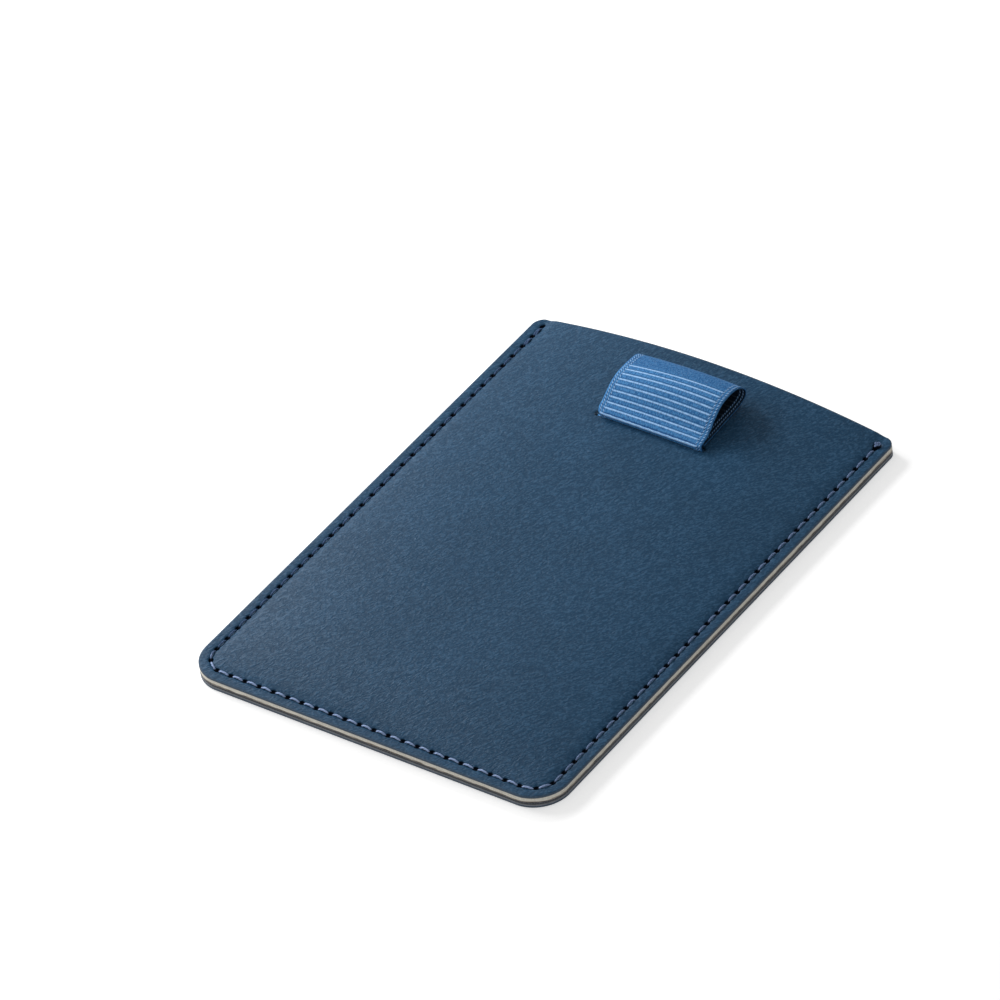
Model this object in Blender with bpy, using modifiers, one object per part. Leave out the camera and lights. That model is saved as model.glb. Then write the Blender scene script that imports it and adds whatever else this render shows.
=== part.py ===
"""Slim card sleeve with a ribbon pull tab: a flat back and a domed front, laminated from thin
sheets and sewn on three sides, with a woven ribbon that runs out of a slit in the front, down
inside, round under the cards and up to an anchor on the back lining.

Metres, +Z out of the front, +Y towards the open mouth, origin under the middle of the back."""

import math

import bmesh
import bpy
from mathutils import Matrix, Vector

# Outline of the sleeve
SLEEVE_WIDTH = 0.0705
SLEEVE_LENGTH = 0.098
BOTTOM_CORNER_RADIUS = 0.006
MOUTH_CORNER_RADIUS = 0.002
BOTTOM_CORNER_STEPS = 6
MOUTH_CORNER_STEPS = 2

# Sheets, each with its own thickness, and the glue line between two of them
SKIN_THICKNESS = 0.00038
FRONT_BACKING_THICKNESS = 0.0008
BACK_BACKING_THICKNESS = 0.0002
FOIL_THICKNESS = 0.00006
LINING_THICKNESS = 0.00012
BOND_GAP = 0.00004

# Front: a narrow shoulder inside the seam, a low dome, and the arch at the open mouth
SEAM_INSET = 0.002
SHOULDER_START = 0.0003
SHOULDER_WIDTH = 0.0016
SHOULDER_RISE = 0.00015
DOME_RISE = 0.00135
DOME_RUN = 0.016
DOME_POWER = 3
MOUTH_RISE = 0.00315
MOUTH_RUN = 0.078
MOUTH_POWER = 3
SHOULDER_COLUMNS = 3
PANEL_COLUMNS = 4
DOME_ROWS = 3
PANEL_ROWS = 7

# Slit in the front
SLIT_FROM_MOUTH = 0.018
SLIT_WIDTH = 0.0012
SLIT_LEFT_EASE = 0.0007
SLIT_RIGHT_EASE = 0.0003
SLIT_END_STEPS = 6
CUT_OVERRUN = 0.002

# Seam threads
STITCH_PITCH = 0.0028
NEEDLE_THREAD_DIAMETER = 0.0004
BOBBIN_THREAD_DIAMETER = 0.00022
NEEDLE_THREAD_SINK = 0.00008
STITCH_DIP = 0.0001
THREAD_CLEARANCE = 0.00006
SEAM_END_GAP = 0.0019
CORNER_STITCH_STEPS = 5
BACKTACK_STITCHES = 2
KNOT_DIAMETER = 0.0013
KNOT_SEGMENTS = 12
THREAD_SIDES = 8

# Ribbon
RIBBON_WIDTH = 0.0205
RIBBON_THICKNESS = 0.0004
RIBBON_CLEARANCE = 0.0003
PLY_GAP = 0.00005
RIBBON_JOINT_GAP = 0.0001
RIBBON_POCKET_GAP = 0.00006
TURN_INNER_GAP = 0.00012
TURN_LEG = 0.0018
TURN_STEPS = 6
TURN_FROM_BOTTOM = 0.0094
ANCHOR_LENGTH = 0.01
THROAT_BEND_RADIUS = 0.0006
THROAT_BEND_STEPS = 3
STEM_SETBACK = 0.00025
NECK_DEPTH = 0.001
FRONT_RUN_STEPS = 10

# Loop of the pull tab: how far it reaches from the slit, how high its right side rises, and
# how much higher than straight its middle stands, as a share of its height there
LOOP_REACH = 0.0127
LOOP_RISE = 0.0036
LOOP_CROWN = 0.16
LOOP_STEPS_PER_POINT = 2
LOOP_COLUMNS = 4

# Side views of the loop's ribbon, from the slit, over the fold and back underneath.
# Each row is a share of the reach, a share of the rise, and the share of one ply's height.
LOOP_RIGHT_SHARES = (
    (-0.017, 0.0, 0.6),
    (0.012, 0.014, 1.0),
    (0.075, 0.069, 1.0),
    (0.142, 0.153, 1.0),
    (0.205, 0.297, 1.0),
    (0.276, 0.486, 1.0),
    (0.354, 0.667, 1.0),
    (0.441, 0.847, 1.0),
    (0.528, 0.958, 1.0),
    (0.63, 1.0, 1.0),
    (0.732, 0.986, 1.0),
    (0.827, 0.917, 1.0),
    (0.913, 0.764, 1.0),
    (0.976, 0.542, 1.0),
    (1.0, 0.382, 0.5),
    (0.972, 0.236, 0.0),
    (0.906, 0.133, 0.0),
    (0.803, 0.072, 0.0),
    (0.646, 0.044, 0.0),
    (0.472, 0.033, 0.0),
    (0.3, 0.011, 0.0),
    (0.038, 0.0, 0.0),
)
LOOP_LEFT_SHARES = (
    (-0.017, 0.0, 0.6),
    (0.016, 0.042, 1.0),
    (0.063, 0.097, 1.0),
    (0.126, 0.194, 1.0),
    (0.189, 0.333, 1.0),
    (0.26, 0.472, 1.0),
    (0.339, 0.611, 1.0),
    (0.425, 0.708, 1.0),
    (0.52, 0.753, 1.0),
    (0.622, 0.753, 1.0),
    (0.724, 0.731, 1.0),
    (0.819, 0.694, 1.0),
    (0.898, 0.625, 1.0),
    (0.953, 0.514, 1.0),
    (0.976, 0.437, 0.5),
    (0.949, 0.375, 0.0),
    (0.874, 0.264, 0.0),
    (0.756, 0.167, 0.0),
    (0.598, 0.1, 0.0),
    (0.425, 0.05, 0.0),
    (0.252, 0.017, 0.0),
    (0.038, 0.0, 0.0),
)

# Stitches that close the loop and that hold the anchor
TAB_THREAD_DIAMETER = 0.00024
TAB_STITCH_PITCH = 0.0018
TAB_STITCH_DIP = 0.00006
TAB_STITCH_MARGIN = 0.0008
ANCHOR_THREAD_DIAMETER = 0.0002
ANCHOR_STITCH_PITCH = 0.002
ANCHOR_STITCH_MARGIN = 0.0015

# Pull of the tab
PULL_ANGLE = math.radians(20)
PULL_RANGE = 0.06
LIFT_PER_PULL = 0.5

# Colours and finishes: base colour, roughness, metallic
FINISHES = {
    "navy_leather": ((0.018, 0.066, 0.13), 0.55, 0.0),
    "cream_backing": ((0.5, 0.48, 0.42), 0.9, 0.0),
    "grey_backing": ((0.16, 0.17, 0.18), 0.9, 0.0),
    "shielding_foil": ((0.55, 0.55, 0.57), 0.35, 1.0),
    "dark_lining": ((0.03, 0.035, 0.045), 0.9, 0.0),
    "blue_ribbon": ((0.06, 0.18, 0.42), 0.75, 0.0),
    "blue_thread": ((0.08, 0.14, 0.32), 0.6, 0.0),
    "ribbon_thread": ((0.2, 0.36, 0.62), 0.6, 0.0),
}


def clear_scene():
    for obj in list(bpy.data.objects):
        bpy.data.objects.remove(obj, do_unlink=True)


def new_collection(name):
    collection = bpy.data.collections.new(name)
    bpy.context.scene.collection.children.link(collection)
    return collection


def finish_material(name):
    colour, roughness, metallic = FINISHES[name]
    material = bpy.data.materials.new(name)
    material.use_nodes = True
    shader = material.node_tree.nodes["Principled BSDF"]
    shader.inputs["Base Color"].default_value = (*colour, 1)
    shader.inputs["Roughness"].default_value = roughness
    shader.inputs["Metallic"].default_value = metallic
    material.diffuse_color = (*colour, 1)
    return material


# Heights of the sheets at the seam, from the back up
def sheet_levels():
    """Bottom height and thickness of each sheet at the seam."""
    stack = (
        ("back_skin", SKIN_THICKNESS),
        ("back_backing", BACK_BACKING_THICKNESS),
        ("back_foil", FOIL_THICKNESS),
        ("back_lining", LINING_THICKNESS),
        ("front_lining", LINING_THICKNESS),
        ("front_foil", FOIL_THICKNESS),
        ("front_backing", FRONT_BACKING_THICKNESS),
        ("front_skin", SKIN_THICKNESS),
    )
    levels, bottom = {}, 0.0
    for name, thickness in stack:
        levels[name] = (bottom, thickness)
        bottom += thickness + BOND_GAP
    return levels


LEVELS = sheet_levels()
SEAM_TOP = sum(LEVELS["front_skin"])
POCKET_FLOOR = sum(LEVELS["back_lining"])
POCKET_ROOF = LEVELS["front_lining"][0]
HALF_WIDTH = SLEEVE_WIDTH / 2
HALF_LENGTH = SLEEVE_LENGTH / 2
SEAM_HALF_WIDTH = HALF_WIDTH - SEAM_INSET
SEAM_BOTTOM = -HALF_LENGTH + SEAM_INSET
SEAM_END = HALF_LENGTH - SEAM_END_GAP
SEAM_RADIUS = BOTTOM_CORNER_RADIUS - SEAM_INSET
SLIT_Y = HALF_LENGTH - SLIT_FROM_MOUTH
HALF_RIBBON = RIBBON_WIDTH / 2


# Shape of the front
def smooth_step(share):
    share = min(max(share, 0.0), 1.0)
    return share**3 * (share * (6 * share - 15) + 10)


def edge_distance(x, y):
    """How far a point lies inside the cut edge, not counting the mouth."""
    from_bottom = y + HALF_LENGTH
    past_corner_x = abs(x) - (HALF_WIDTH - BOTTOM_CORNER_RADIUS)
    past_corner_y = BOTTOM_CORNER_RADIUS - from_bottom
    if past_corner_x > 0 and past_corner_y > 0:
        return BOTTOM_CORNER_RADIUS - math.hypot(past_corner_x, past_corner_y)
    return min(HALF_WIDTH - abs(x), from_bottom)


def front_rise(x, y):
    """How far the front is raised above its place at the seam."""
    inside = edge_distance(x, y) - SEAM_INSET - SHOULDER_START
    shoulder = SHOULDER_RISE * smooth_step(inside / SHOULDER_WIDTH)
    across = min(abs(x) / SEAM_HALF_WIDTH, 1)
    up = min(max((y - SEAM_BOTTOM) / DOME_RUN, 0), 1)
    dome = DOME_RISE * up * (2 - up) * (1 - across**DOME_POWER)
    mouth_share = max((y - HALF_LENGTH) / MOUTH_RUN + 1, 0) ** MOUTH_POWER
    mouth = (MOUTH_RISE - SHOULDER_RISE) * (1 - across**2)
    return shoulder + dome + mouth_share * (mouth - dome)


def half_width_at(from_bottom):
    """Half the width of the outline at a height above the bottom edge."""
    from_mouth = SLEEVE_LENGTH - from_bottom
    for radius, distance in (
        (BOTTOM_CORNER_RADIUS, from_bottom),
        (MOUTH_CORNER_RADIUS, from_mouth),
    ):
        if distance < radius:
            drop = radius - max(distance, 0)
            return HALF_WIDTH - radius + math.sqrt(max(radius**2 - drop**2, 0))
    return HALF_WIDTH


def corner_heights(radius, steps):
    turns = (math.pi / 2 * step / steps for step in range(steps + 1))
    return [radius * (1 - math.cos(turn)) for turn in turns]


def evenly(first, last, steps):
    return [first + (last - first) * step / steps for step in range(steps + 1)]


def sheet_rows(domed):
    """Heights above the bottom edge at which a sheet has a row of points."""
    bottom = corner_heights(BOTTOM_CORNER_RADIUS, BOTTOM_CORNER_STEPS)
    mouth = corner_heights(MOUTH_CORNER_RADIUS, MOUTH_CORNER_STEPS)
    mouth = [SLEEVE_LENGTH - height for height in reversed(mouth)]
    if not domed:
        return bottom + mouth
    dome_top = SEAM_INSET + DOME_RUN
    dome = evenly(bottom[-1], dome_top, DOME_ROWS)[1:]
    return bottom + dome + evenly(dome_top, mouth[0], PANEL_ROWS)[1:-1] + mouth


def sheet_columns(domed):
    """Shares of the half width, from the centre out, at which a sheet has a column of points."""
    if not domed:
        return [0.0, 1.0]
    start = SEAM_INSET + SHOULDER_START
    shoulder = evenly(start, start + SHOULDER_WIDTH, SHOULDER_COLUMNS)
    panel = evenly(start + SHOULDER_WIDTH, HALF_WIDTH, PANEL_COLUMNS)[1:]
    return [1 - inset / HALF_WIDTH for inset in reversed([0.0] + shoulder + panel)]


# Mesh helpers
def add_object(name, data, finish, collection):
    obj = bpy.data.objects.new(name, data)
    obj.data.materials.append(bpy.data.materials.get(finish) or finish_material(finish))
    collection.objects.link(obj)
    return obj


def grid_mesh(name, columns, rows, place):
    """A grid of columns by rows faces whose point (i, j) goes to place(i, j)."""
    mesh = bpy.data.meshes.new(name)
    bm = bmesh.new()
    bmesh.ops.create_grid(bm, x_segments=columns, y_segments=rows, size=0.5)
    for vert in bm.verts:
        i = round((vert.co.x + 0.5) * columns)
        j = round((vert.co.y + 0.5) * rows)
        vert.co = Vector(place(i, j))
    bm.to_mesh(mesh)
    bm.free()
    return mesh


def thicken_upwards(mesh, thickness):
    """Turns an open sheet into a closed one, thickened straight up along Z.

    The sheet is triangulated first, so that sheets which lie on each other bend alike."""
    bm = bmesh.new()
    bm.from_mesh(mesh)
    bmesh.ops.triangulate(bm, faces=bm.faces[:], quad_method="FIXED")
    made = bmesh.ops.extrude_face_region(bm, geom=bm.faces[:])
    raised = [item for item in made["geom"] if isinstance(item, bmesh.types.BMVert)]
    bmesh.ops.translate(bm, verts=raised, vec=(0, 0, thickness))
    bmesh.ops.recalc_face_normals(bm, faces=bm.faces[:])
    bm.to_mesh(mesh)
    bm.free()


def curve_tube(name, points, diameter, finish, collection, cyclic=False):
    """A round thread through the points, closed at its ends."""
    curve = bpy.data.curves.new(name, "CURVE")
    curve.dimensions = "3D"
    curve.bevel_depth = diameter / 2
    curve.bevel_resolution = THREAD_SIDES // 2 - 2
    curve.use_fill_caps = True
    spline = curve.splines.new("POLY")
    spline.points.add(len(points) - 1)
    for point, place in zip(spline.points, points):
        point.co = (*place, 1)
    spline.use_cyclic_u = cyclic
    return add_object(name, curve, finish, collection)


def made_mesh(tube):
    """Replaces a curve object by the mesh of its tube, welded at the caps."""
    bpy.context.view_layer.update()
    graph = bpy.context.evaluated_depsgraph_get()
    mesh = bpy.data.meshes.new_from_object(tube.evaluated_get(graph))
    bm = bmesh.new()
    bm.from_mesh(mesh)
    bmesh.ops.remove_doubles(bm, verts=bm.verts[:], dist=tube.data.bevel_depth / 100)
    bmesh.ops.recalc_face_normals(bm, faces=bm.faces[:])
    bm.to_mesh(mesh)
    bm.free()
    solid = bpy.data.objects.new(tube.name, mesh)
    solid.matrix_world = tube.matrix_world
    for collection in tube.users_collection:
        collection.objects.link(solid)
    bpy.data.objects.remove(tube, do_unlink=True)
    return solid


def hide_cutter(cutter):
    cutter.hide_render = True
    cutter.display_type = "WIRE"
    return cutter


def cut(obj, cutter):
    modifier = obj.modifiers.new(cutter.name, "BOOLEAN")
    modifier.operation = "DIFFERENCE"
    modifier.solver = "EXACT"
    modifier.object = cutter


# Sheets of the sleeve
def make_sheet(name, finish, domed, collection):
    bottom, thickness = LEVELS[name]
    half_shares = sheet_columns(domed)
    shares = [-share for share in reversed(half_shares[1:])] + half_shares
    rows = sheet_rows(domed)

    def place(i, j):
        x = shares[i] * half_width_at(rows[j])
        y = rows[j] - HALF_LENGTH
        return x, y, bottom + (front_rise(x, y) if domed else 0.0)

    mesh = grid_mesh(name, len(shares) - 1, len(rows) - 1, place)
    thicken_upwards(mesh, thickness)
    return add_object(name, mesh, finish, collection)


def slit_cutter(collection):
    """A prism with round ends that stands through all the front sheets."""
    outline = []
    for side, ease in ((1, SLIT_RIGHT_EASE), (-1, SLIT_LEFT_EASE)):
        straight = HALF_RIBBON + ease - SLIT_WIDTH / 2
        for step in range(SLIT_END_STEPS + 1):
            turn = math.pi * step / SLIT_END_STEPS - math.pi / 2
            x = straight + math.cos(turn) * SLIT_WIDTH / 2
            outline.append((side * x, SLIT_Y + side * math.sin(turn) * SLIT_WIDTH / 2))
    bottom = POCKET_ROOF
    top = SEAM_TOP + front_rise(0, SLIT_Y) + CUT_OVERRUN
    mesh = bpy.data.meshes.new("slit_cutter")
    bm = bmesh.new()
    face = bm.faces.new([bm.verts.new((x, y, bottom)) for x, y in outline])
    made = bmesh.ops.extrude_face_region(bm, geom=[face])
    raised = [item for item in made["geom"] if isinstance(item, bmesh.types.BMVert)]
    bmesh.ops.translate(bm, verts=raised, vec=(0, 0, top - bottom))
    bmesh.ops.recalc_face_normals(bm, faces=bm.faces[:])
    bm.to_mesh(mesh)
    bm.free()
    cutter = bpy.data.objects.new("slit_cutter", mesh)
    collection.objects.link(cutter)
    return hide_cutter(cutter)


# Seam route: down the left, along the bottom and up the right
def seam_length():
    sides = 2 * (SEAM_END - SEAM_BOTTOM - SEAM_RADIUS)
    corners = math.pi * SEAM_RADIUS
    return sides + corners + 2 * (SEAM_HALF_WIDTH - SEAM_RADIUS)


def seam_point(distance):
    """The point of the seam at a distance along it from its left end."""
    side = SEAM_END - SEAM_BOTTOM - SEAM_RADIUS
    corner = math.pi / 2 * SEAM_RADIUS
    corner_x = SEAM_HALF_WIDTH - SEAM_RADIUS
    corner_y = SEAM_BOTTOM + SEAM_RADIUS
    if distance > seam_length() / 2:
        x, y = seam_point(seam_length() - distance)
        return -x, y
    if distance <= side:
        return -SEAM_HALF_WIDTH, SEAM_END - distance
    if distance <= side + corner:
        turn = (distance - side) / SEAM_RADIUS
        return (
            -corner_x - SEAM_RADIUS * math.cos(turn),
            corner_y - SEAM_RADIUS * math.sin(turn),
        )
    return -corner_x + distance - side - corner, SEAM_BOTTOM


def seam_corner_distances():
    """Distances along the seam at its ends and round its corners, for a plain tube."""
    side = SEAM_END - SEAM_BOTTOM - SEAM_RADIUS
    corner = math.pi / 2 * SEAM_RADIUS
    first = evenly(side, side + corner, CORNER_STITCH_STEPS)
    second = [seam_length() - distance for distance in reversed(first)]
    return [0.0] + first + second + [seam_length()]


def needle_thread_height():
    return SEAM_TOP - NEEDLE_THREAD_SINK + NEEDLE_THREAD_DIAMETER / 2


def make_needle_thread(collection):
    """One unbroken thread that dips into the seam groove at every needle hole.

    It ends short of the knot at the seam's right end."""
    length = seam_length() - KNOT_DIAMETER - THREAD_CLEARANCE
    stitches = round(length / STITCH_PITCH)
    height = needle_thread_height()
    points = []
    for step in range(2 * stitches + 1):
        x, y = seam_point(length * step / (2 * stitches))
        points.append((x, y, height if step % 2 else height - STITCH_DIP))
    return curve_tube(
        "seam_needle_thread", points, NEEDLE_THREAD_DIAMETER, "blue_thread", collection
    )


def needle_groove_cutter(collection):
    """A tube that cuts the groove the needle thread lies in."""
    lowest = needle_thread_height() - STITCH_DIP
    points = [(*seam_point(distance), lowest) for distance in seam_corner_distances()]
    diameter = NEEDLE_THREAD_DIAMETER + 2 * THREAD_CLEARANCE
    tube = curve_tube("needle_groove_cutter", points, diameter, "blue_thread", collection)
    return hide_cutter(made_mesh(tube))


def bobbin_thread_points():
    height = BOBBIN_THREAD_DIAMETER / 2 + THREAD_CLEARANCE / 3
    return [(*seam_point(distance), height) for distance in seam_corner_distances()]


def make_bobbin_thread(collection):
    return curve_tube(
        "seam_bobbin_thread",
        bobbin_thread_points(),
        BOBBIN_THREAD_DIAMETER,
        "blue_thread",
        collection,
    )


def bobbin_groove_cutter(collection):
    diameter = BOBBIN_THREAD_DIAMETER + 2 * THREAD_CLEARANCE
    tube = curve_tube(
        "bobbin_groove_cutter", bobbin_thread_points(), diameter, "blue_thread", collection
    )
    return hide_cutter(made_mesh(tube))


def make_backtack(collection):
    """The stitches sewn back beside the seam's left end, to lock it."""
    beside = NEEDLE_THREAD_DIAMETER + THREAD_CLEARANCE
    height = SEAM_TOP + NEEDLE_THREAD_DIAMETER / 2 + THREAD_CLEARANCE
    x = -SEAM_HALF_WIDTH + beside
    points = []
    for step in range(2 * BACKTACK_STITCHES + 1):
        y = SEAM_END - step * STITCH_PITCH / 2
        raised = STITCH_DIP if step % 2 else 0.0
        points.append((x, y, height + front_rise(x, y) + raised))
    return curve_tube(
        "left_backtack", points, NEEDLE_THREAD_DIAMETER, "blue_thread", collection
    )


def make_knot(collection):
    """The small ring of thread knotted off at the seam's right end."""
    radius = KNOT_DIAMETER / 2 - NEEDLE_THREAD_DIAMETER / 2
    x, y = seam_point(seam_length() - KNOT_DIAMETER / 2)
    highest = front_rise(x - KNOT_DIAMETER / 2, y)
    z = SEAM_TOP + highest + NEEDLE_THREAD_DIAMETER / 2 + THREAD_CLEARANCE
    turns = [2 * math.pi * step / KNOT_SEGMENTS for step in range(KNOT_SEGMENTS)]
    points = [(x + radius * math.cos(turn), y + radius * math.sin(turn), z) for turn in turns]
    return curve_tube(
        "right_knot", points, NEEDLE_THREAD_DIAMETER, "blue_thread", collection, cyclic=True
    )


# Ribbon
def ribbon_strip(name, path, collection):
    """A flat stretch of ribbon, from its mid line in the YZ plane."""

    def place(i, j):
        return (2 * i - 1) * HALF_RIBBON, *path[j]

    mesh = grid_mesh(name, 1, len(path) - 1, place)
    return thicken_ribbon(add_object(name, mesh, "blue_ribbon", collection))


def thicken_ribbon(strip):
    solidify = strip.modifiers.new("ply", "SOLIDIFY")
    solidify.thickness = RIBBON_THICKNESS
    solidify.offset = 0
    solidify.use_even_offset = True
    return strip


def slit_frame():
    """Panel height at the slit and the slope of the panel there, towards the mouth."""
    step = SLIT_WIDTH
    ahead = front_rise(0, SLIT_Y + step)
    behind = front_rise(0, SLIT_Y - step)
    return SEAM_TOP + front_rise(0, SLIT_Y), math.atan2(ahead - behind, 2 * step)


def from_slit(along, above):
    """The YZ place of a point given along and square to the panel, from the slit."""
    height, slope = slit_frame()
    y = SLIT_Y + along * math.cos(slope) - above * math.sin(slope)
    return y, height + along * math.sin(slope) + above * math.cos(slope)


def loop_profile(shares):
    """Control points of one side of the loop, along and above the panel."""
    lower = RIBBON_CLEARANCE + RIBBON_THICKNESS / 2
    points = [(-STEM_SETBACK, RIBBON_CLEARANCE)]
    for reach_share, rise_share, ply_share in shares:
        above = lower + ply_share * (RIBBON_THICKNESS + PLY_GAP) + rise_share * LOOP_RISE
        points.append((reach_share * LOOP_REACH, above))
    return points


def smooth_through(points, steps):
    """A Catmull-Rom curve through the points, with some steps between each two."""
    first = [2 * a - b for a, b in zip(points[0], points[1])]
    last = [2 * a - b for a, b in zip(points[-1], points[-2])]
    held = [first, *points, last]
    curve = []
    for k in range(1, len(held) - 2):
        for step in range(steps):
            t = step / steps
            curve.append(
                [
                    (
                        2 * b
                        + (c - a) * t
                        + (2 * a - 5 * b + 4 * c - d) * t**2
                        + (3 * b - a - 3 * c + d) * t**3
                    )
                    / 2
                    for a, b, c, d in zip(*held[k - 1 : k + 3])
                ]
            )
    return [*curve, list(points[-1])]


def make_loop(collection):
    """The folded end of the ribbon, a little higher on its right side than on its left."""
    left = smooth_through(loop_profile(LOOP_LEFT_SHARES), LOOP_STEPS_PER_POINT)
    right = smooth_through(loop_profile(LOOP_RIGHT_SHARES), LOOP_STEPS_PER_POINT)

    def place(i, j):
        share = i / LOOP_COLUMNS
        along, above = (a + (b - a) * share for a, b in zip(left[j], right[j]))
        above *= 1 + LOOP_CROWN * (1 - (2 * share - 1) ** 2)
        return (2 * share - 1) * HALF_RIBBON, *from_slit(along, above)

    mesh = grid_mesh("pull_tab_loop", LOOP_COLUMNS, len(left) - 1, place)
    return thicken_ribbon(add_object("pull_tab_loop", mesh, "blue_ribbon", collection))


def make_loop_stitches(collection):
    """The line of stitches across the foot of the loop, near the top of its front face."""
    reach = HALF_RIBBON - TAB_STITCH_MARGIN
    stitches = round(2 * reach / TAB_STITCH_PITCH)
    off_face = RIBBON_THICKNESS / 2 + THREAD_CLEARANCE + TAB_THREAD_DIAMETER / 2
    above = RIBBON_CLEARANCE + RIBBON_THICKNESS + TAB_THREAD_DIAMETER / 2
    points = []
    for step in range(2 * stitches + 1):
        bulge = 0.0 if step % 2 else TAB_STITCH_DIP
        along = -STEM_SETBACK - off_face - TAB_STITCH_DIP + bulge
        x = -reach + 2 * reach * step / (2 * stitches)
        points.append((x, *from_slit(along, above)))
    return curve_tube(
        "tab_stitches", points, TAB_THREAD_DIAMETER, "ribbon_thread", collection
    )


def front_run_height(y):
    """Mid height of the ribbon's front run, which hangs just under the front lining."""
    roof = POCKET_ROOF + front_rise(HALF_RIBBON, y)
    return roof - 2 * RIBBON_POCKET_GAP - RIBBON_THICKNESS / 2


def turn_heights():
    """Mid heights of the turn's lower and upper legs."""
    lower = POCKET_FLOOR + RIBBON_POCKET_GAP + RIBBON_THICKNESS / 2
    return lower, lower + RIBBON_THICKNESS + TURN_INNER_GAP


def turn_ends():
    """Y of the turn's nose and of its legs' open ends."""
    nose = -HALF_LENGTH + TURN_FROM_BOTTOM
    radius = RIBBON_THICKNESS + TURN_INNER_GAP / 2
    return nose, nose + radius + TURN_LEG


def make_turn(collection):
    """The bend of the ribbon in which the cards stand."""
    nose, end = turn_ends()
    lower, upper = turn_heights()
    radius = (upper - lower) / 2
    centre_y = nose + RIBBON_THICKNESS / 2 + radius
    centre_z = (upper + lower) / 2
    path = [(end, lower)]
    for step in range(TURN_STEPS + 1):
        turn = math.pi * step / TURN_STEPS
        path.append(
            (centre_y - radius * math.sin(turn), centre_z - radius * math.cos(turn))
        )
    path.append((end, upper))
    return ribbon_strip("ribbon_turn", path, collection)


def make_throat(collection):
    """The bend from the front run up into the slit."""
    y, top = from_slit(-STEM_SETBACK, -NECK_DEPTH - RIBBON_JOINT_GAP)
    run = front_run_height(y)
    path = [(y - 2 * THROAT_BEND_RADIUS, run)]
    for step in range(THROAT_BEND_STEPS + 1):
        turn = math.pi / 2 * step / THROAT_BEND_STEPS
        path.append(
            (
                y - THROAT_BEND_RADIUS * (1 - math.sin(turn)),
                run + THROAT_BEND_RADIUS * (1 - math.cos(turn)),
            )
        )
    path.append((y, top))
    return ribbon_strip("ribbon_throat", path, collection)


def make_neck(collection):
    """The stretch through the slit that bends as the tab is lifted."""
    bottom = from_slit(-STEM_SETBACK, -NECK_DEPTH)
    top = from_slit(-STEM_SETBACK, RIBBON_CLEARANCE - RIBBON_JOINT_GAP)
    return ribbon_strip("ribbon_neck", [bottom, top], collection)


def make_front_run(collection):
    """From the turn's upper leg up to the throat, under the front lining."""
    _, start = turn_ends()
    end = from_slit(-STEM_SETBACK, -NECK_DEPTH)[0] - 2 * THROAT_BEND_RADIUS
    ys = evenly(start + RIBBON_JOINT_GAP, end - RIBBON_JOINT_GAP, FRONT_RUN_STEPS)
    path = [(y, front_run_height(y)) for y in ys]
    path[0] = (ys[0], turn_heights()[1])
    return ribbon_strip("ribbon_front_run", path, collection)


def anchor_start():
    """Y at which the sewn end of the ribbon begins, clear of the turn at full pull."""
    lift = PULL_RANGE * LIFT_PER_PULL
    return turn_ends()[1] + lift + RIBBON_CLEARANCE


def make_back_run(collection):
    """From the turn's lower leg up to the anchor, on the back lining."""
    height = turn_heights()[0]
    start = turn_ends()[1] + RIBBON_JOINT_GAP
    path = [(start, height), (anchor_start() - RIBBON_JOINT_GAP, height)]
    return ribbon_strip("ribbon_back_run", path, collection)


def make_anchor_patch(collection):
    height = turn_heights()[0]
    path = [(anchor_start(), height), (anchor_start() + ANCHOR_LENGTH, height)]
    return ribbon_strip("ribbon_anchor_patch", path, collection)


def make_anchor_stitches(collection):
    """A zigzag of thread across the sewn end of the ribbon."""
    reach = HALF_RIBBON - ANCHOR_STITCH_MARGIN
    zigzags = round(2 * reach / ANCHOR_STITCH_PITCH)
    low = anchor_start() + ANCHOR_STITCH_MARGIN
    high = anchor_start() + ANCHOR_LENGTH - ANCHOR_STITCH_MARGIN
    height = turn_heights()[0] + RIBBON_THICKNESS / 2
    height += THREAD_CLEARANCE + ANCHOR_THREAD_DIAMETER / 2
    points = []
    for step in range(zigzags + 1):
        x = -reach + 2 * reach * step / zigzags
        points.append((x, high if step % 2 else low, height))
    return curve_tube(
        "anchor_stitches", points, ANCHOR_THREAD_DIAMETER, "ribbon_thread", collection
    )


# Joint axes
def joint_empty(name, place, collection, parent=None):
    empty = bpy.data.objects.new(name, None)
    empty.empty_display_size = RIBBON_WIDTH
    empty.location = Vector(place) - (parent.location if parent else Vector())
    empty.parent = parent
    collection.objects.link(empty)
    return empty


def carry(obj, empty):
    """Hangs a piece on its joint's empty, with the piece's origin on the joint's axis."""
    bpy.context.view_layer.update()
    obj.data.transform(Matrix.Translation(-empty.matrix_world.translation))
    obj.parent = empty


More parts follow.
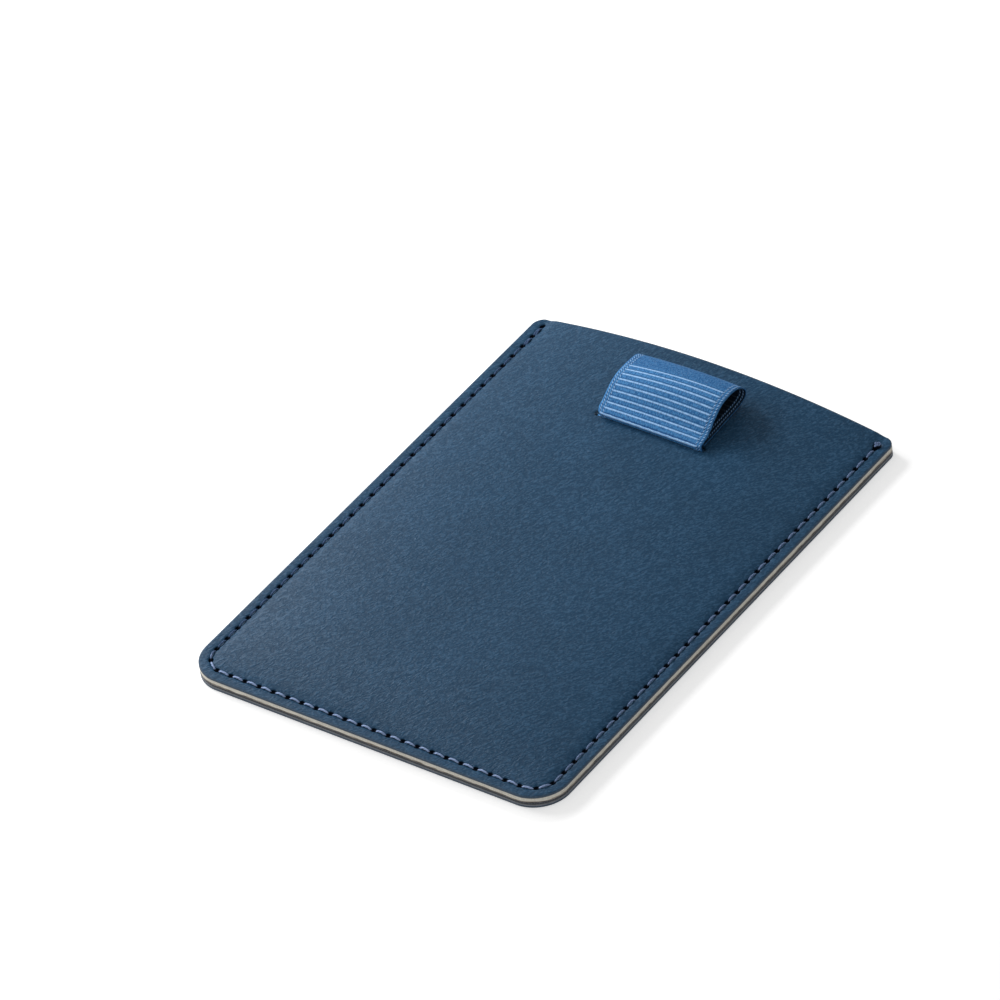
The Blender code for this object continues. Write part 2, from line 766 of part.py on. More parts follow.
def build():
    clear_scene()
    sleeve = new_collection("card_sleeve")
    cutters = new_collection("cutters")
    sheets = {
        "back_skin": make_sheet("back_skin", "navy_leather", False, sleeve),
        "back_backing": make_sheet("back_backing", "grey_backing", False, sleeve),
        "back_foil": make_sheet("back_foil", "shielding_foil", False, sleeve),
        "back_lining": make_sheet("back_lining", "dark_lining", False, sleeve),
        "front_lining": make_sheet("front_lining", "dark_lining", True, sleeve),
        "front_foil": make_sheet("front_foil", "shielding_foil", True, sleeve),
        "front_backing": make_sheet("front_backing", "cream_backing", True, sleeve),
        "front_skin": make_sheet("front_skin", "navy_leather", True, sleeve),
    }
    slit = slit_cutter(cutters)
    for name in ("front_lining", "front_foil", "front_backing", "front_skin"):
        cut(sheets[name], slit)
    cut(sheets["front_skin"], needle_groove_cutter(cutters))
    cut(sheets["back_skin"], bobbin_groove_cutter(cutters))

    make_needle_thread(sleeve)
    make_bobbin_thread(sleeve)
    make_backtack(sleeve)
    make_knot(sleeve)
    make_throat(sleeve)
    make_front_run(sleeve)
    make_back_run(sleeve)
    make_anchor_patch(sleeve)
    make_anchor_stitches(sleeve)

    near_lip = from_slit(-SLIT_WIDTH / 2, RIBBON_CLEARANCE + RIBBON_THICKNESS / 2)
    swing = joint_empty("tab_swing_axis", (0, *near_lip), sleeve)
    pull = joint_empty("tab_pull_axis", (0, *near_lip), sleeve, swing)
    lift = joint_empty("turn_lift_axis", (0, turn_ends()[0], turn_heights()[0]), sleeve)
    carry(make_neck(sleeve), swing)
    carry(make_loop(sleeve), pull)
    carry(make_loop_stitches(sleeve), pull)
    carry(make_turn(sleeve), lift)
    print("swing axis", near_lip)
    print("pull direction", math.cos(PULL_ANGLE), math.sin(PULL_ANGLE))
    print("turn lift", PULL_RANGE * LIFT_PER_PULL)


build()
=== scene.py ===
# Card sleeve with a ribbon pull tab: leather, cut edges, stitches and woven ribbon,
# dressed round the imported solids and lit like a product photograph. Metres throughout.
import math

import bmesh
import bpy
from mathutils import Matrix, Vector
from mathutils.geometry import delaunay_2d_cdt


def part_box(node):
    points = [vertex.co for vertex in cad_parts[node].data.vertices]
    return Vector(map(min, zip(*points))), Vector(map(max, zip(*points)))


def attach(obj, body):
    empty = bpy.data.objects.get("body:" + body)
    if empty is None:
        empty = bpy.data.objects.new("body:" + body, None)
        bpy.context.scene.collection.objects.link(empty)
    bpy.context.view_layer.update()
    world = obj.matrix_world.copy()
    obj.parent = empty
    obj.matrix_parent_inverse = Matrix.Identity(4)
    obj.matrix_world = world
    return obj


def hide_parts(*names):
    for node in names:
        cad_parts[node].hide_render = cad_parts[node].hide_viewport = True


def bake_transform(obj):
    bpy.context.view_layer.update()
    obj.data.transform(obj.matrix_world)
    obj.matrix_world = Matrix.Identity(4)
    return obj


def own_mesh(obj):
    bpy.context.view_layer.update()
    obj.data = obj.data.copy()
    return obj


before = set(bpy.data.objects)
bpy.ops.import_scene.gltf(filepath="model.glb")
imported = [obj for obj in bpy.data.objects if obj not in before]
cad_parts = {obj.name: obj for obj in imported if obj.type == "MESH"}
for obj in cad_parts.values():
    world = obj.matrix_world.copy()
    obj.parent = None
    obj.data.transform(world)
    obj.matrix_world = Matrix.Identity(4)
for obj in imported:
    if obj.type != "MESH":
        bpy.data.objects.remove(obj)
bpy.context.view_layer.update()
print("frame loaded,", len(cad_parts), "solids")

mm = 0.001


# Small helpers for node trees
nodeSocket = bpy.types.NodeSocket


def fill(node, inputs):
    # each input is a number, a vector, a colour or another node's output
    for key, value in inputs.items():
        socket = node.inputs[key]
        if isinstance(value, nodeSocket):
            node.id_data.links.new(value, socket)
        else:
            socket.default_value = (*value, 1) if socket.type == "RGBA" else value


def newNode(tree, kind, inputs=None, **settings):
    # gives the new node's outputs
    node = tree.nodes.new(kind)
    for key, value in settings.items():
        setattr(node, key, value)
    fill(node, inputs or {})
    return node.outputs


def addNode(kind, inputs, **settings):
    # a node in the tree that its inputs come from
    trees = [value.id_data for value in inputs.values() if isinstance(value, nodeSocket)]
    return newNode(trees[0], kind, inputs, **settings)


def calc(operation, *values, clamp=False):
    inputs = dict(enumerate(values))
    return addNode("ShaderNodeMath", inputs, operation=operation, use_clamp=clamp)[0]


def times(first, second):
    return calc("MULTIPLY", first, second)


def minus(first, second):
    return calc("SUBTRACT", first, second)


def offFrom(value, middle):
    return calc("ABSOLUTE", minus(value, middle))


def vectorCalc(operation, *vectors, scale=None):
    inputs = dict(enumerate(vectors))
    if scale is not None:
        inputs["Scale"] = scale
    return addNode("ShaderNodeVectorMath", inputs, operation=operation)[0]


def remap(value, fromLow, fromHigh, toLow=0.0, toHigh=1.0, kind="SMOOTHSTEP"):
    inputs = dict(enumerate((value, fromLow, fromHigh, toLow, toHigh)))
    return addNode("ShaderNodeMapRange", inputs, interpolation_type=kind)[0]


def mixColour(share, first, second, blend="MIX"):
    inputs = {0: share, 6: first, 7: second}
    return addNode("ShaderNodeMix", inputs, data_type="RGBA", blend_type=blend)[2]


def greyTone(shade):
    return addNode("ShaderNodeCombineColor", {0: shade, 1: shade, 2: shade})[0]


def attribute(tree, name):
    return newNode(tree, "ShaderNodeAttribute", attribute_name=name)["Fac"]


def objectPlace(tree):
    return newNode(tree, "ShaderNodeTexCoord")["Object"]


def mapped(place, scale, turn=0.0):
    inputs = {"Vector": place, "Scale": scale, "Rotation": (0, 0, turn)}
    return addNode("ShaderNodeMapping", inputs)[0]


def noise(place, size=1.0, detail=2.0, distortion=0.0):
    inputs = {"Vector": place, "Scale": 1 / size, "Detail": detail, "Distortion": distortion}
    return addNode("ShaderNodeTexNoise", inputs)[0]


def bump(height, depth, normal=None, strength=1.0):
    inputs = {"Height": height, "Distance": depth, "Strength": strength}
    if normal is not None:
        inputs["Normal"] = normal
    return addNode("ShaderNodeBump", inputs)[0]


def newMaterial(name, roughness, metallic=0.0):
    material = bpy.data.materials.new(name)
    material.use_nodes = True
    tree = material.node_tree
    surface = tree.nodes["Principled BSDF"]
    fill(surface, {"Roughness": roughness, "Metallic": metallic})
    return material, tree, surface


# Leather: short slanting wrinkles over fine pebbles, painted shade in the needle holes, and a
# paler cut edge whose paleness is partly painted light
leatherLook = {
    "pale": (0.032, 0.09, 0.168),
    "dark": (0.011, 0.046, 0.096),
    "tones": (0.42, 0.68),  # heights at which the leather is dark and pale
    "holeShadeColour": (0.003, 0.005, 0.01),
    # the cut edge's own colour, made paler as painted light because its walls get less light than
    # the top
    "cutColourWithPaintedLight": (0.08, 0.11, 0.15),
    "roughness": 0.42,
    "specular": 0.075,
    "relief": (0.8, 0.2),  # shares of the wrinkles and the pebbles
    "wrinkle": (0.85 * mm, 0.33 * mm),
    "wrinkleTurn": math.radians(58),
    "wrinkleDepth": 0.11 * mm,
    "pebble": 0.42 * mm,
    "pebbleShift": 0.8,
    "pebbleDepth": 0.025 * mm,
    "pore": 0.12 * mm,
    "poreDepth": 0.008 * mm,
    "mottle": 9 * mm,
    "mottleShades": (0.94, 1.06),
}


def leatherMaterial():
    look = leatherLook
    material, tree, surface = newMaterial("navyLeather", look["roughness"])
    place = objectPlace(tree)
    length, width = look["wrinkle"]
    turned = mapped(place, (1, 1, 1), -look["wrinkleTurn"])
    stretched = mapped(turned, (1 / length, 1 / width, 1 / width))
    wrinkles = noise(stretched, 1.0, 1.8, 1.0)
    grain = {"Scale": 1 / look["pebble"]}
    warp = addNode("ShaderNodeTexNoise", {"Vector": place, **grain})["Color"]
    centred = vectorCalc("SUBTRACT", warp, (0.5, 0.5, 0.5))
    shift = vectorCalc("SCALE", centred, scale=look["pebbleShift"] * look["pebble"])
    grain.update({"Vector": vectorCalc("ADD", turned, shift), "Smoothness": 0.6})
    pebbles = addNode("ShaderNodeTexVoronoi", grain, feature="SMOOTH_F1")["Distance"]
    domes = minus(1.0, pebbles)
    pores = noise(place, look["pore"], 1.0)
    mottle = noise(place, look["mottle"], 3.0)
    wrinkleShare, domeShare = look["relief"]
    smaller = times(domes, domeShare)
    relief = calc("MULTIPLY_ADD", wrinkles, wrinkleShare, smaller)
    tinted = mixColour(remap(relief, *look["tones"]), look["dark"], look["pale"])
    clouds = greyTone(remap(mottle, 0.3, 0.7, *look["mottleShades"]))
    mottled = mixColour(1.0, tinted, clouds, "MULTIPLY")
    # painted shade: the needle holes darkened almost to black, and without specular
    holes = remap(attribute(tree, "hole"), 0.1, 0.55)
    holeShaded = mixColour(holes, mottled, look["holeShadeColour"])
    rough = look["roughness"]
    normal = bump(wrinkles, look["wrinkleDepth"])
    normal = bump(domes, look["pebbleDepth"], normal)
    unpunched = minus(1.0, holes)
    # the cut walls and rim take the cut colour, which is partly painted light
    inputs = {
        "Base Color": mixColour(attribute(tree, "cut"), holeShaded, look["cutColourWithPaintedLight"]),
        "Roughness": remap(relief, 0.3, 0.8, rough + 0.08, rough - 0.06),
        "Normal": bump(pores, look["poreDepth"], normal),
        "Specular IOR Level": times(unpunched, look["specular"]),
    }
    fill(surface, inputs)
    return material


# Cut edges of the fibre sheets: pressed fibres in thin level bands
fibreLook = {
    "paleFrom": (0.1, 0.34),  # these four are heights, as shares of the wall's
    "underFrom": (0.08, 0.03),
    "lineHeight": 0.06,
    "lineReach": (0.06, 0.02),
    "lineColour": (0.03, 0.024, 0.02),
    # painted shade for the slit's walls
    "slitShadeColour": (0.01, 0.011, 0.013),
    "shades": (0.8, 1.08),
    "bandDepth": 0.06 * mm,
    "grainDepth": 0.03 * mm,
}


def fibreMaterial(name, topColour, lowColour, band, under=None):
    # under is the colour of the wall's foot, below a dark line
    look = fibreLook
    material, tree, surface = newMaterial(name, 0.9)
    place = objectPlace(tree)
    bands = noise(mapped(place, (0.12 / band, 0.12 / band, 1 / band)), 1.0, 4.0)
    grain = noise(place, band / 2, 3.0)
    streakPlace = mapped(place, (1.1 / band, 1.1 / band, 0.15 / band))
    streaks = noise(streakPlace, 1.0, 3.0)
    uneven = times(minus(bands, 0.5), 0.6 if under else 1.4)
    level = calc("ADD", attribute(tree, "level"), uneven, clamp=True)
    if under:
        banded = mixColour(remap(level, *look["paleFrom"]), lowColour, topColour)
        banded = mixColour(remap(level, *look["underFrom"]), banded, under)
        line = remap(offFrom(level, look["lineHeight"]), *look["lineReach"])
        banded = mixColour(line, banded, look["lineColour"])
    else:
        banded = mixColour(level, lowColour, topColour)
    # painted shade: the slit's walls darkened almost to black
    colour = mixColour(attribute(tree, "slitShade"), banded, look["slitShadeColour"])
    mixed = calc("MULTIPLY_ADD", bands, 0.5, times(grain, 0.2))
    fine = calc("MULTIPLY_ADD", streaks, 0.3, mixed)
    shade = greyTone(remap(fine, 0.36, 0.64, *look["shades"]))
    inputs = {
        "Base Color": mixColour(1.0, colour, shade, "MULTIPLY"),
        "Normal": bump(grain, look["grainDepth"], bump(bands, look["bandDepth"])),
        "Specular IOR Level": 0.05,
    }
    fill(surface, inputs)
    return material


# Creased foil, dull at its cut edge
foilLook = {"roughness": 0.32, "crease": 1.5 * mm, "creaseDepth": 0.02 * mm, "cutShade": 0.3}


def foilMaterial():
    look = foilLook
    material, tree, surface = newMaterial("shieldingFoil", look["roughness"], 1.0)
    creases = noise(objectPlace(tree), look["crease"], 3.0, 1.0)
    shade = remap(creases, 0.3, 0.7, 0.42, 0.6)
    normal = newNode(tree, "ShaderNodeNewGeometry")["Normal"]
    upright = calc("ABSOLUTE", addNode("ShaderNodeSeparateXYZ", {0: normal})[2])
    dulled = times(shade, remap(upright, 0.4, 0.9, look["cutShade"]))
    relief = bump(creases, look["creaseDepth"])
    fill(surface, {"Base Color": greyTone(dulled), "Normal": relief})
    return material


# Plain woven lining: over and under threads in two directions
liningLook = {
    "dark": (0.026, 0.03, 0.04),
    "pale": (0.06, 0.068, 0.085),
    "thread": 0.28 * mm,
    "threadDepth": 0.03 * mm,
    "sheen": 0.2,
}


def liningMaterial():
    look = liningLook
    material, tree, surface = newMaterial("darkLining", 0.8)
    place = objectPlace(tree)
    split = addNode("ShaderNodeSeparateXYZ", {0: place})
    turns = [times(split[axis], math.pi / look["thread"]) for axis in (0, 1)]
    weave = times(*[calc("SINE", turn) for turn in turns])
    fuzz = noise(place, look["thread"] / 3)
    height = calc("MULTIPLY_ADD", fuzz, 0.6, weave)
    inputs = {
        "Base Color": mixColour(remap(height, -0.6, 1.4), look["dark"], look["pale"]),
        "Normal": bump(height, look["threadDepth"]),
        "Sheen Weight": look["sheen"],
    }
    fill(surface, inputs)
    return material


# Twisted sewing thread
threadLook = {
    "fibre": 0.12 * mm,
    "fibreDepth": 0.02 * mm,
    "specular": 0.08,
    # painted shade for the thread inside its holes
    "sunkShadeColour": (0.004, 0.005, 0.01),
    "sunkDepth": 0.2 * mm,
}


def threadMaterial(name, colour, pale, paintedLitColour=None):
    # paintedLitColour is painted light: the seam paler near the sleeve's bottom and towards the
    # right; in its holes the seam darkens with painted shade
    look = threadLook
    material, tree, surface = newMaterial(name, 0.5)
    place = objectPlace(tree)
    split = addNode("ShaderNodeSeparateXYZ", {0: place})
    fibres = noise(place, look["fibre"], 3.0)
    if paintedLitColour:
        # painted light: paler near the sleeve's bottom and towards the right
        nearBottom = remap(split[1], seamBottom + seamCorner, seamBottom + 0.3 * mm)
        right = remap(split[0], -10 * mm, 30 * mm, 0.0, 0.35)
        paintedLitShare = calc("MAXIMUM", nearBottom, right)
        pale = mixColour(paintedLitShare, pale, paintedLitColour)
        colour = mixColour(times(paintedLitShare, 0.5), colour, paintedLitColour)
    tinted = mixColour(remap(fibres, 0.3, 0.7), colour, pale)
    if paintedLitColour:
        # painted shade: the thread darkens almost to black where it dives into its holes
        sunkShade = remap(split[2], seamTop, seamTop - look["sunkDepth"])
        tinted = mixColour(sunkShade, tinted, look["sunkShadeColour"])
    relief = bump(fibres, look["fibreDepth"])
    specular = look["specular"]
    fill(surface, {"Base Color": tinted, "Normal": relief, "Specular IOR Level": specular})
    return material


# Ribbon: raised ribs with a painted highlight on each and a painted shade line behind it, and two
# twisted cords along each edge
ribbonLook = {
    "ground": (0.022, 0.118, 0.31),
    "groundPale": (0.064, 0.24, 0.52),
    # painted highlight on the ribs' crests, the speckles and the cords
    "ribHighlight": (0.38, 0.62, 0.94),
    # painted shade behind each rib and in the cords' dashes; it also darkens the plain band
    "dark": (0.012, 0.05, 0.15),
    "ribWidthShare": 0.36,
    "warp": 0.22 * mm,
    "weft": 0.16 * mm,
    "cords": (0.42 * mm, 1.02 * mm),
    "cordWidth": 0.34 * mm,
    "cordTwist": 0.525 * mm,
    "roughness": 0.75,
    "specular": 0.08,
    "dotShare": 0.17,
    "plainShade": 0.32,
    # painted shade inside the loop, and how much less of it the edge cords get
    "insideShade": 0.95,
    "insideEdge": 0.75,
}


def ribbonMaterial():
    look, values = ribbonLook, ribbonValues
    material, tree, surface = newMaterial("blueRibbon", look["roughness"])
    across, along, marked = [attribute(tree, name) for name in ("across", "along", "ribbed")]
    phase = calc("FRACT", calc("DIVIDE", along, values["ribPitch"]))
    half = look["ribWidthShare"] / 2
    ridge = remap(offFrom(phase, 0.5), half, half * 0.3)
    furrow = remap(offFrom(phase, 0.5 + 1.55 * half), half * 0.7, half * 0.15)
    inside = minus(values["width"] / 2, calc("ABSOLUTE", across))
    body = remap(inside, values["selvedge"] * 0.95, values["selvedge"] * 1.15)
    ribbed = times(marked, body)
    flat = addNode("ShaderNodeCombineXYZ", {0: across, 1: along})[0]
    warp = noise(mapped(flat, (1 / look["warp"], 0.4 / look["warp"], 1)))
    speckles = {"Vector": flat, "Scale": 1 / (1.3 * look["weft"])}
    speckle = addNode("ShaderNodeTexVoronoi", speckles)["Distance"]
    dots = remap(speckle, 0.5, 0.15)
    ground = mixColour(remap(warp, 0.35, 0.62), look["ground"], look["groundPale"])
    plain = remap(marked, 1.0, 0.0, 0.0, look["plainShade"])
    ground = mixColour(plain, ground, look["dark"])
    spots = times(dots, look["dotShare"])
    spotted = mixColour(spots, ground, look["ribHighlight"])
    # painted shade: a dark line behind each rib
    paintedRibShade = times(times(furrow, 0.6), ribbed)
    withRibShade = mixColour(paintedRibShade, spotted, look["dark"])
    # painted highlight on the ribs' crests
    ribShare = times(ridge, remap(warp, 0.3, 0.6, 0.55))
    coloured = mixColour(times(ribShare, ribbed), withRibShade, look["ribHighlight"])

    # the twisted cords along the edges: painted highlight and painted shade dashes in turn
    slanting = calc("MULTIPLY_ADD", inside, 1.1, along)
    swing = calc("SINE", times(slanting, 2 * math.pi / look["cordTwist"]))
    paintedCordDashes = mixColour(remap(swing, -0.5, 0.5), look["dark"], look["ribHighlight"])
    cordWidth = look["cordWidth"]
    near = [
        remap(offFrom(inside, distance), cordWidth / 2, cordWidth / 5)
        for distance in look["cords"]
    ]
    cords = times(calc("MAXIMUM", *near), 0.8)
    edged = mixColour(cords, coloured, paintedCordDashes)
    # painted shade: the loop's inner face darkened towards black, less on its edge cords
    paintedInsideShade = calc("MULTIPLY_ADD", cords, -look["insideEdge"], look["insideShade"])
    shaded = times(attribute(tree, "inner"), paintedInsideShade)
    normal = bump(dots, 0.03 * mm, bump(warp, 0.05 * mm), 0.8)
    inputs = {
        "Base Color": mixColour(shaded, edged, (0, 0, 0)),
        "Normal": bump(times(cords, swing), 0.06 * mm, normal),
        "Specular IOR Level": look["specular"],
    }
    fill(surface, inputs)
    return material


# Shape of the sleeve, repeated from the solids' own dimensions
sleeveShape = {
    "bottomCorner": 6.0 * mm,
    "mouthCorner": 2.0 * mm,
    "seamInset": 2.0 * mm,
    "seamEndGap": 1.9 * mm,
    "shoulderStart": 0.3 * mm,
    "shoulderWidth": 1.6 * mm,
    "shoulderRise": 0.15 * mm,
    "domeRise": 1.35 * mm,
    "domeRun": 16 * mm,
    "domePower": 3,
    "mouthRise": 3.15 * mm,
    "mouthRun": 78 * mm,
    "mouthPower": 3,
    "slitFromMouth": 18 * mm,
    "slitLeft": -11.1 * mm,
    "slitRight": 10.55 * mm,
    "slitWidth": 1.2 * mm,
}
halfWidth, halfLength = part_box("back_skin")[1].xy
seamX = halfWidth - sleeveShape["seamInset"]
seamBottom = -halfLength + sleeveShape["seamInset"]
seamEnd = halfLength - sleeveShape["seamEndGap"]
seamCorner = sleeveShape["bottomCorner"] - sleeveShape["seamInset"]
slitY = halfLength - sleeveShape["slitFromMouth"]
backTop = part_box("back_skin")[1].z
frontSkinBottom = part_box("front_skin")[0].z
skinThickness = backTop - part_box("back_skin")[0].z
seamTop = frontSkinBottom + skinThickness


def smoothStep(share):
    share = min(max(share, 0.0), 1.0)
    return share**3 * (share * (6 * share - 15) + 10)


def evenShares(steps):
    return [count / steps for count in range(steps + 1)]


def edgeInset(x, y):
    corner = sleeveShape["bottomCorner"]
    fromBottom = y + halfLength
    pastX = abs(x) - (halfWidth - corner)
    pastY = corner - fromBottom
    if pastX > 0 and pastY > 0:
        return corner - math.hypot(pastX, pastY)
    return min(halfWidth - abs(x), fromBottom)


def rimInset(x, y):
    # how far a point lies inside the nearest cut edge
    return min(edgeInset(x, y), halfWidthAt(y) - abs(x), halfLength - y)


def halfWidthAt(y):
    corner = sleeveShape["mouthCorner"]
    drop = corner - (halfLength - y)
    if drop <= 0:
        return halfWidth
    return halfWidth - corner + math.sqrt(max(corner**2 - drop**2, 0))


def frontRise(x, y):
    shape = sleeveShape
    inside = edgeInset(x, y) - shape["seamInset"] - shape["shoulderStart"]
    shoulder = shape["shoulderRise"] * smoothStep(inside / shape["shoulderWidth"])
    across = min(abs(x) / seamX, 1)
    up = min(max((y - seamBottom) / shape["domeRun"], 0), 1)
    dome = shape["domeRise"] * up * (2 - up) * (1 - across ** shape["domePower"])
    mouthShare = max((y - halfLength) / shape["mouthRun"] + 1, 0) ** shape["mouthPower"]
    arch = (shape["mouthRise"] - shape["shoulderRise"]) * (1 - across**2)
    return shoulder + dome + mouthShare * (arch - dome)


# Seam route: down the left, along the bottom, up the right
seamSide = seamEnd - seamBottom - seamCorner
seamArc = math.pi / 2 * seamCorner
seamLength = 2 * (seamSide + seamArc + seamX - seamCorner)


def seamPlace(distance):
    # a point of the seam and the direction out of the sleeve there
    if distance > seamLength / 2:
        x, y, outX, outY = seamPlace(seamLength - distance)
        return -x, y, -outX, outY
    if distance <= seamSide:
        return -seamX, seamEnd - distance, -1.0, 0.0
    if distance <= seamSide + seamArc:
        turn = (distance - seamSide) / seamCorner
        outX, outY = -math.cos(turn), -math.sin(turn)
        x = -seamX + seamCorner + seamCorner * outX
        return x, seamBottom + seamCorner + seamCorner * outY, outX, outY
    return -seamX + seamCorner + distance - seamSide - seamArc, seamBottom, 0.0, -1.0


# Sheets
def between(first, last, step):
    steps = max(1, round((last - first).length / step))
    return [first.lerp(last, count / steps) for count in range(1, steps)]


def arcLoop(arcs, step):
    # a closed loop of arcs, anticlockwise, and straight lines with points about a step apart
    points = []
    for x, y, radius, start, sweep, arcSteps in arcs:
        for count in range(arcSteps + 1):
            turn = math.radians(start + sweep * count / arcSteps)
            place = Vector((x + radius * math.cos(turn), y + radius * math.sin(turn)))
            if points and count == 0:
                points += between(points[-1], place, step)
            points.append(place)
    return points + between(points[-1], points[0], step)


def outlineLoop(step):
    corners = ((1, -1, "bottom"), (1, 1, "mouth"), (-1, 1, "mouth"), (-1, -1, "bottom"))
    arcs = []
    for count, (sideX, sideY, end) in enumerate(corners):
        radius = sleeveShape[end + "Corner"]
        arcSteps = max(6, round(math.pi / 2 * radius / step))
        centre = sideX * (halfWidth - radius), sideY * (halfLength - radius)
        arcs.append((*centre, radius, 90 * count - 90, 90, arcSteps))
    return arcLoop(arcs, step)


def slitCentres():
    # the middles of the slit's round ends, right and left
    radius = sleeveShape["slitWidth"] / 2
    return sleeveShape["slitRight"] - radius, sleeveShape["slitLeft"] + radius


def slitLoop(grow=0.0, arcSteps=8, step=1.0 * mm):
    radius = sleeveShape["slitWidth"] / 2 + grow
    right, left = slitCentres()
    arcs = [(right, slitY, radius, -90, 180, arcSteps), (left, slitY, radius, 90, 180, arcSteps)]
    return arcLoop(arcs, step)


def insideSlit(x, y, margin):
    right, left = slitCentres()
    pastX = max(x - right, left - x, 0)
    return math.hypot(pastX, y - slitY) < sleeveShape["slitWidth"] / 2 + margin


def lattice(step, margin, hasSlit):
    # free points inside the outline
    places = []
    rows = round(2 * halfLength / step)
    columns = round(2 * halfWidth / step)
    for row in range(rows + 1):
        y = -halfLength + 2 * halfLength * row / rows
        for column in range(columns + 1):
            x = -halfWidth + 2 * halfWidth * (column + 0.5 * (row % 2)) / columns
            free = edgeInset(x, y) > margin and halfLength - y > margin
            if free and not (hasSlit and insideSlit(x, y, step / 2)):
                places.append((x, y))
    return places


def triangulate(loops, places):
    # triangles inside the first loop and outside the others; loop points come first
    points, edges = [], []
    for loop in loops:
        first = len(points)
        points += [Vector((x, y)) / mm for x, y in loop]
        count = len(loop)
        edges += [(first + i, first + (i + 1) % count) for i in range(count)]
    points += [Vector((x, y)) / mm for x, y in places]
    made = delaunay_2d_cdt(points, edges, [], 2, 1e-6)
    origins = [ids[0] for ids in made[3]]
    return [[origins[corner] for corner in face] for face in made[2]]


def addPiece(name, data):
    piece = bpy.data.objects.new(name, data)
    bpy.context.scene.collection.objects.link(piece)
    return piece


def finishMesh(name, bm, material, smooth=True):
    mesh = bpy.data.meshes.new(name)
    bm.to_mesh(mesh)
    bm.free()
    mesh.polygons.foreach_set("use_smooth", [smooth] * len(mesh.polygons))
    mesh.materials.append(material)
    return addPiece(name, mesh)


def finishSheet(name, bm, material, sharpAngle):
    bmesh.ops.recalc_face_normals(bm, faces=bm.faces[:])
    piece = finishMesh(name, bm, material)
    piece.data.set_sharp_from_angle(angle=math.radians(sharpAngle))
    return piece


def bridge(bm, first, second, closed=True):
    # faces between two lines of points
    for count in range(len(first) - (not closed)):
        after = (count + 1) % len(first)
        bm.faces.new((first[count], second[count], second[after], first[after]))


def wallSheet(name, node, thickness, isFront, material, look):
    # a sheet with straight cut walls, whose wall is a little rough
    rise = frontRise if isFront else lambda x, y: 0.0
    loops = [outlineLoop(look["edgeStep"])]
    if isFront:
        loops.append(slitLoop())
    places = lattice(look["step"], seamRings[-1] + look["step"] * 0.4, isFront) + ringPlaces()
    flat = [tuple(place) for loop in loops for place in loop] + places
    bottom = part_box(node)[0].z
    bm = bmesh.new()
    level = bm.verts.layers.float.new("level")
    slitShade = bm.verts.layers.float.new("slitShade")
    rows = look["wallRows"]
    lower = [bm.verts.new((x, y, bottom + rise(x, y))) for x, y in flat]
    upper = []
    sinkFrom, sinkRun = look["sinkRange"]
    for x, y in flat:
        low = look["topSink"] * smoothStep((rimInset(x, y) - sinkFrom) / sinkRun)
        upper.append(bm.verts.new((x, y, bottom + thickness - low + rise(x, y))))
        upper[-1][level] = 1.0
    for face in triangulate(loops, places):
        bm.faces.new([upper[corner] for corner in face])
        bm.faces.new([lower[corner] for corner in reversed(face)])
    first = 0
    for loop in loops:
        rings = [lower[first : first + len(loop)]]
        for row in range(1, rows):
            ring = []
            share = row / rows
            for count, place in enumerate(loop):
                out = wallWave(first + count, row) * look["roughness"]
                x, y = place * (1 + out / place.length)
                ring.append(bm.verts.new((x, y, bottom + share * thickness + rise(*place))))
                ring[-1][level] = share
            rings.append(ring)
        rings.append(upper[first : first + len(loop)])
        # the slit's walls are marked for painted shade
        for vert in sum(rings, []):
            vert[slitShade] = float(first > 0)  # the slit's walls are dark
        for low, high in zip(rings, rings[1:]):
            bridge(bm, low, high)
        first += len(loop)
    return finishSheet(name, bm, material, 50)


# insets of the points that let a domed sheet follow its shoulder inside the seam
seamRings = [inset * mm for inset in (1.1, 2.0, 2.4, 2.8, 3.3, 3.9, 5.0)]


def ringPlaces():
    places = []
    for inset in seamRings:
        for along, placeAt in seamRows(2):
            x, y = placeAt(inset)
            if halfLength - y > 0.4 * mm:
                places.append((x, y))
    return places


def wallWave(count, row):
    # an uneven cut that repeats nowhere in sight
    return (
        math.sin(count * 0.71 + row * 2.1)
        + math.sin(count * 0.193 + row * 0.8) * 0.8
        + math.sin(count * 1.37 - row * 1.7) * 0.5
    ) / 2.3


# The two leather sheets, with their furrow, needle holes and rounded cut edge
panelLook = {
    "stitchSteps": 20,
    "step": 1.3 * mm,
    "edgeRound": 0.3 * mm,
    "edgeDrop": 0.12 * mm,
    "furrowDepth": 0.18 * mm,
    "furrowReach": 0.36 * mm,
    "holeDepth": 0.36 * mm,
    "holeLength": 0.74 * mm,
    "holeWidth": 0.52 * mm,
    "knotPit": 0.85 * mm,
    "cutRim": 0.22 * mm,
    "cutShare": 0.8,
    "slitDrop": 0.1 * mm,
    "wallStep": 0.35,
    # insets of the points round the border, then where the panel inside it has points
    "insets": (0, 0.06, 0.15, 0.3, 0.6, 1.0, 1.3, 1.5, 1.62, 1.72, 1.82, 1.91, 2.0)
    + (2.09, 2.18, 2.28, 2.4, 2.6, 2.85, 3.15, 3.5, 3.9, 4.5),
    "innerRows": ((2, 0.4 * mm), (4, 1.1 * mm)),
    "slitRings": (0.07 * mm, 0.16 * mm, 0.32 * mm, 0.7 * mm),
    "slitMargin": 1.2 * mm,
    "mouthRows": (1.9 * mm, 3.2 * mm, 4.5 * mm),
    "mouthMargin": 1.6 * mm,
    "innerMargin": 1.8 * mm,
}
stitchValues = {
    "pitch": 2.8 * mm,
    "samples": 16,
    "rise": 0.12 * mm,
    "sink": 0.75 * mm,
    "slant": 0.06 * mm,
    "strand": 0.095 * mm,
    "spread": 0.075 * mm,
    "twist": 1.4,
    "endGap": 1.36 * mm,
}
sewnLength = seamLength - stitchValues["endGap"]
seamStitches = round(sewnLength / stitchValues["pitch"])
seamPitch = sewnLength / seamStitches
knotCentre = (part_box("right_knot")[0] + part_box("right_knot")[1]) / 2
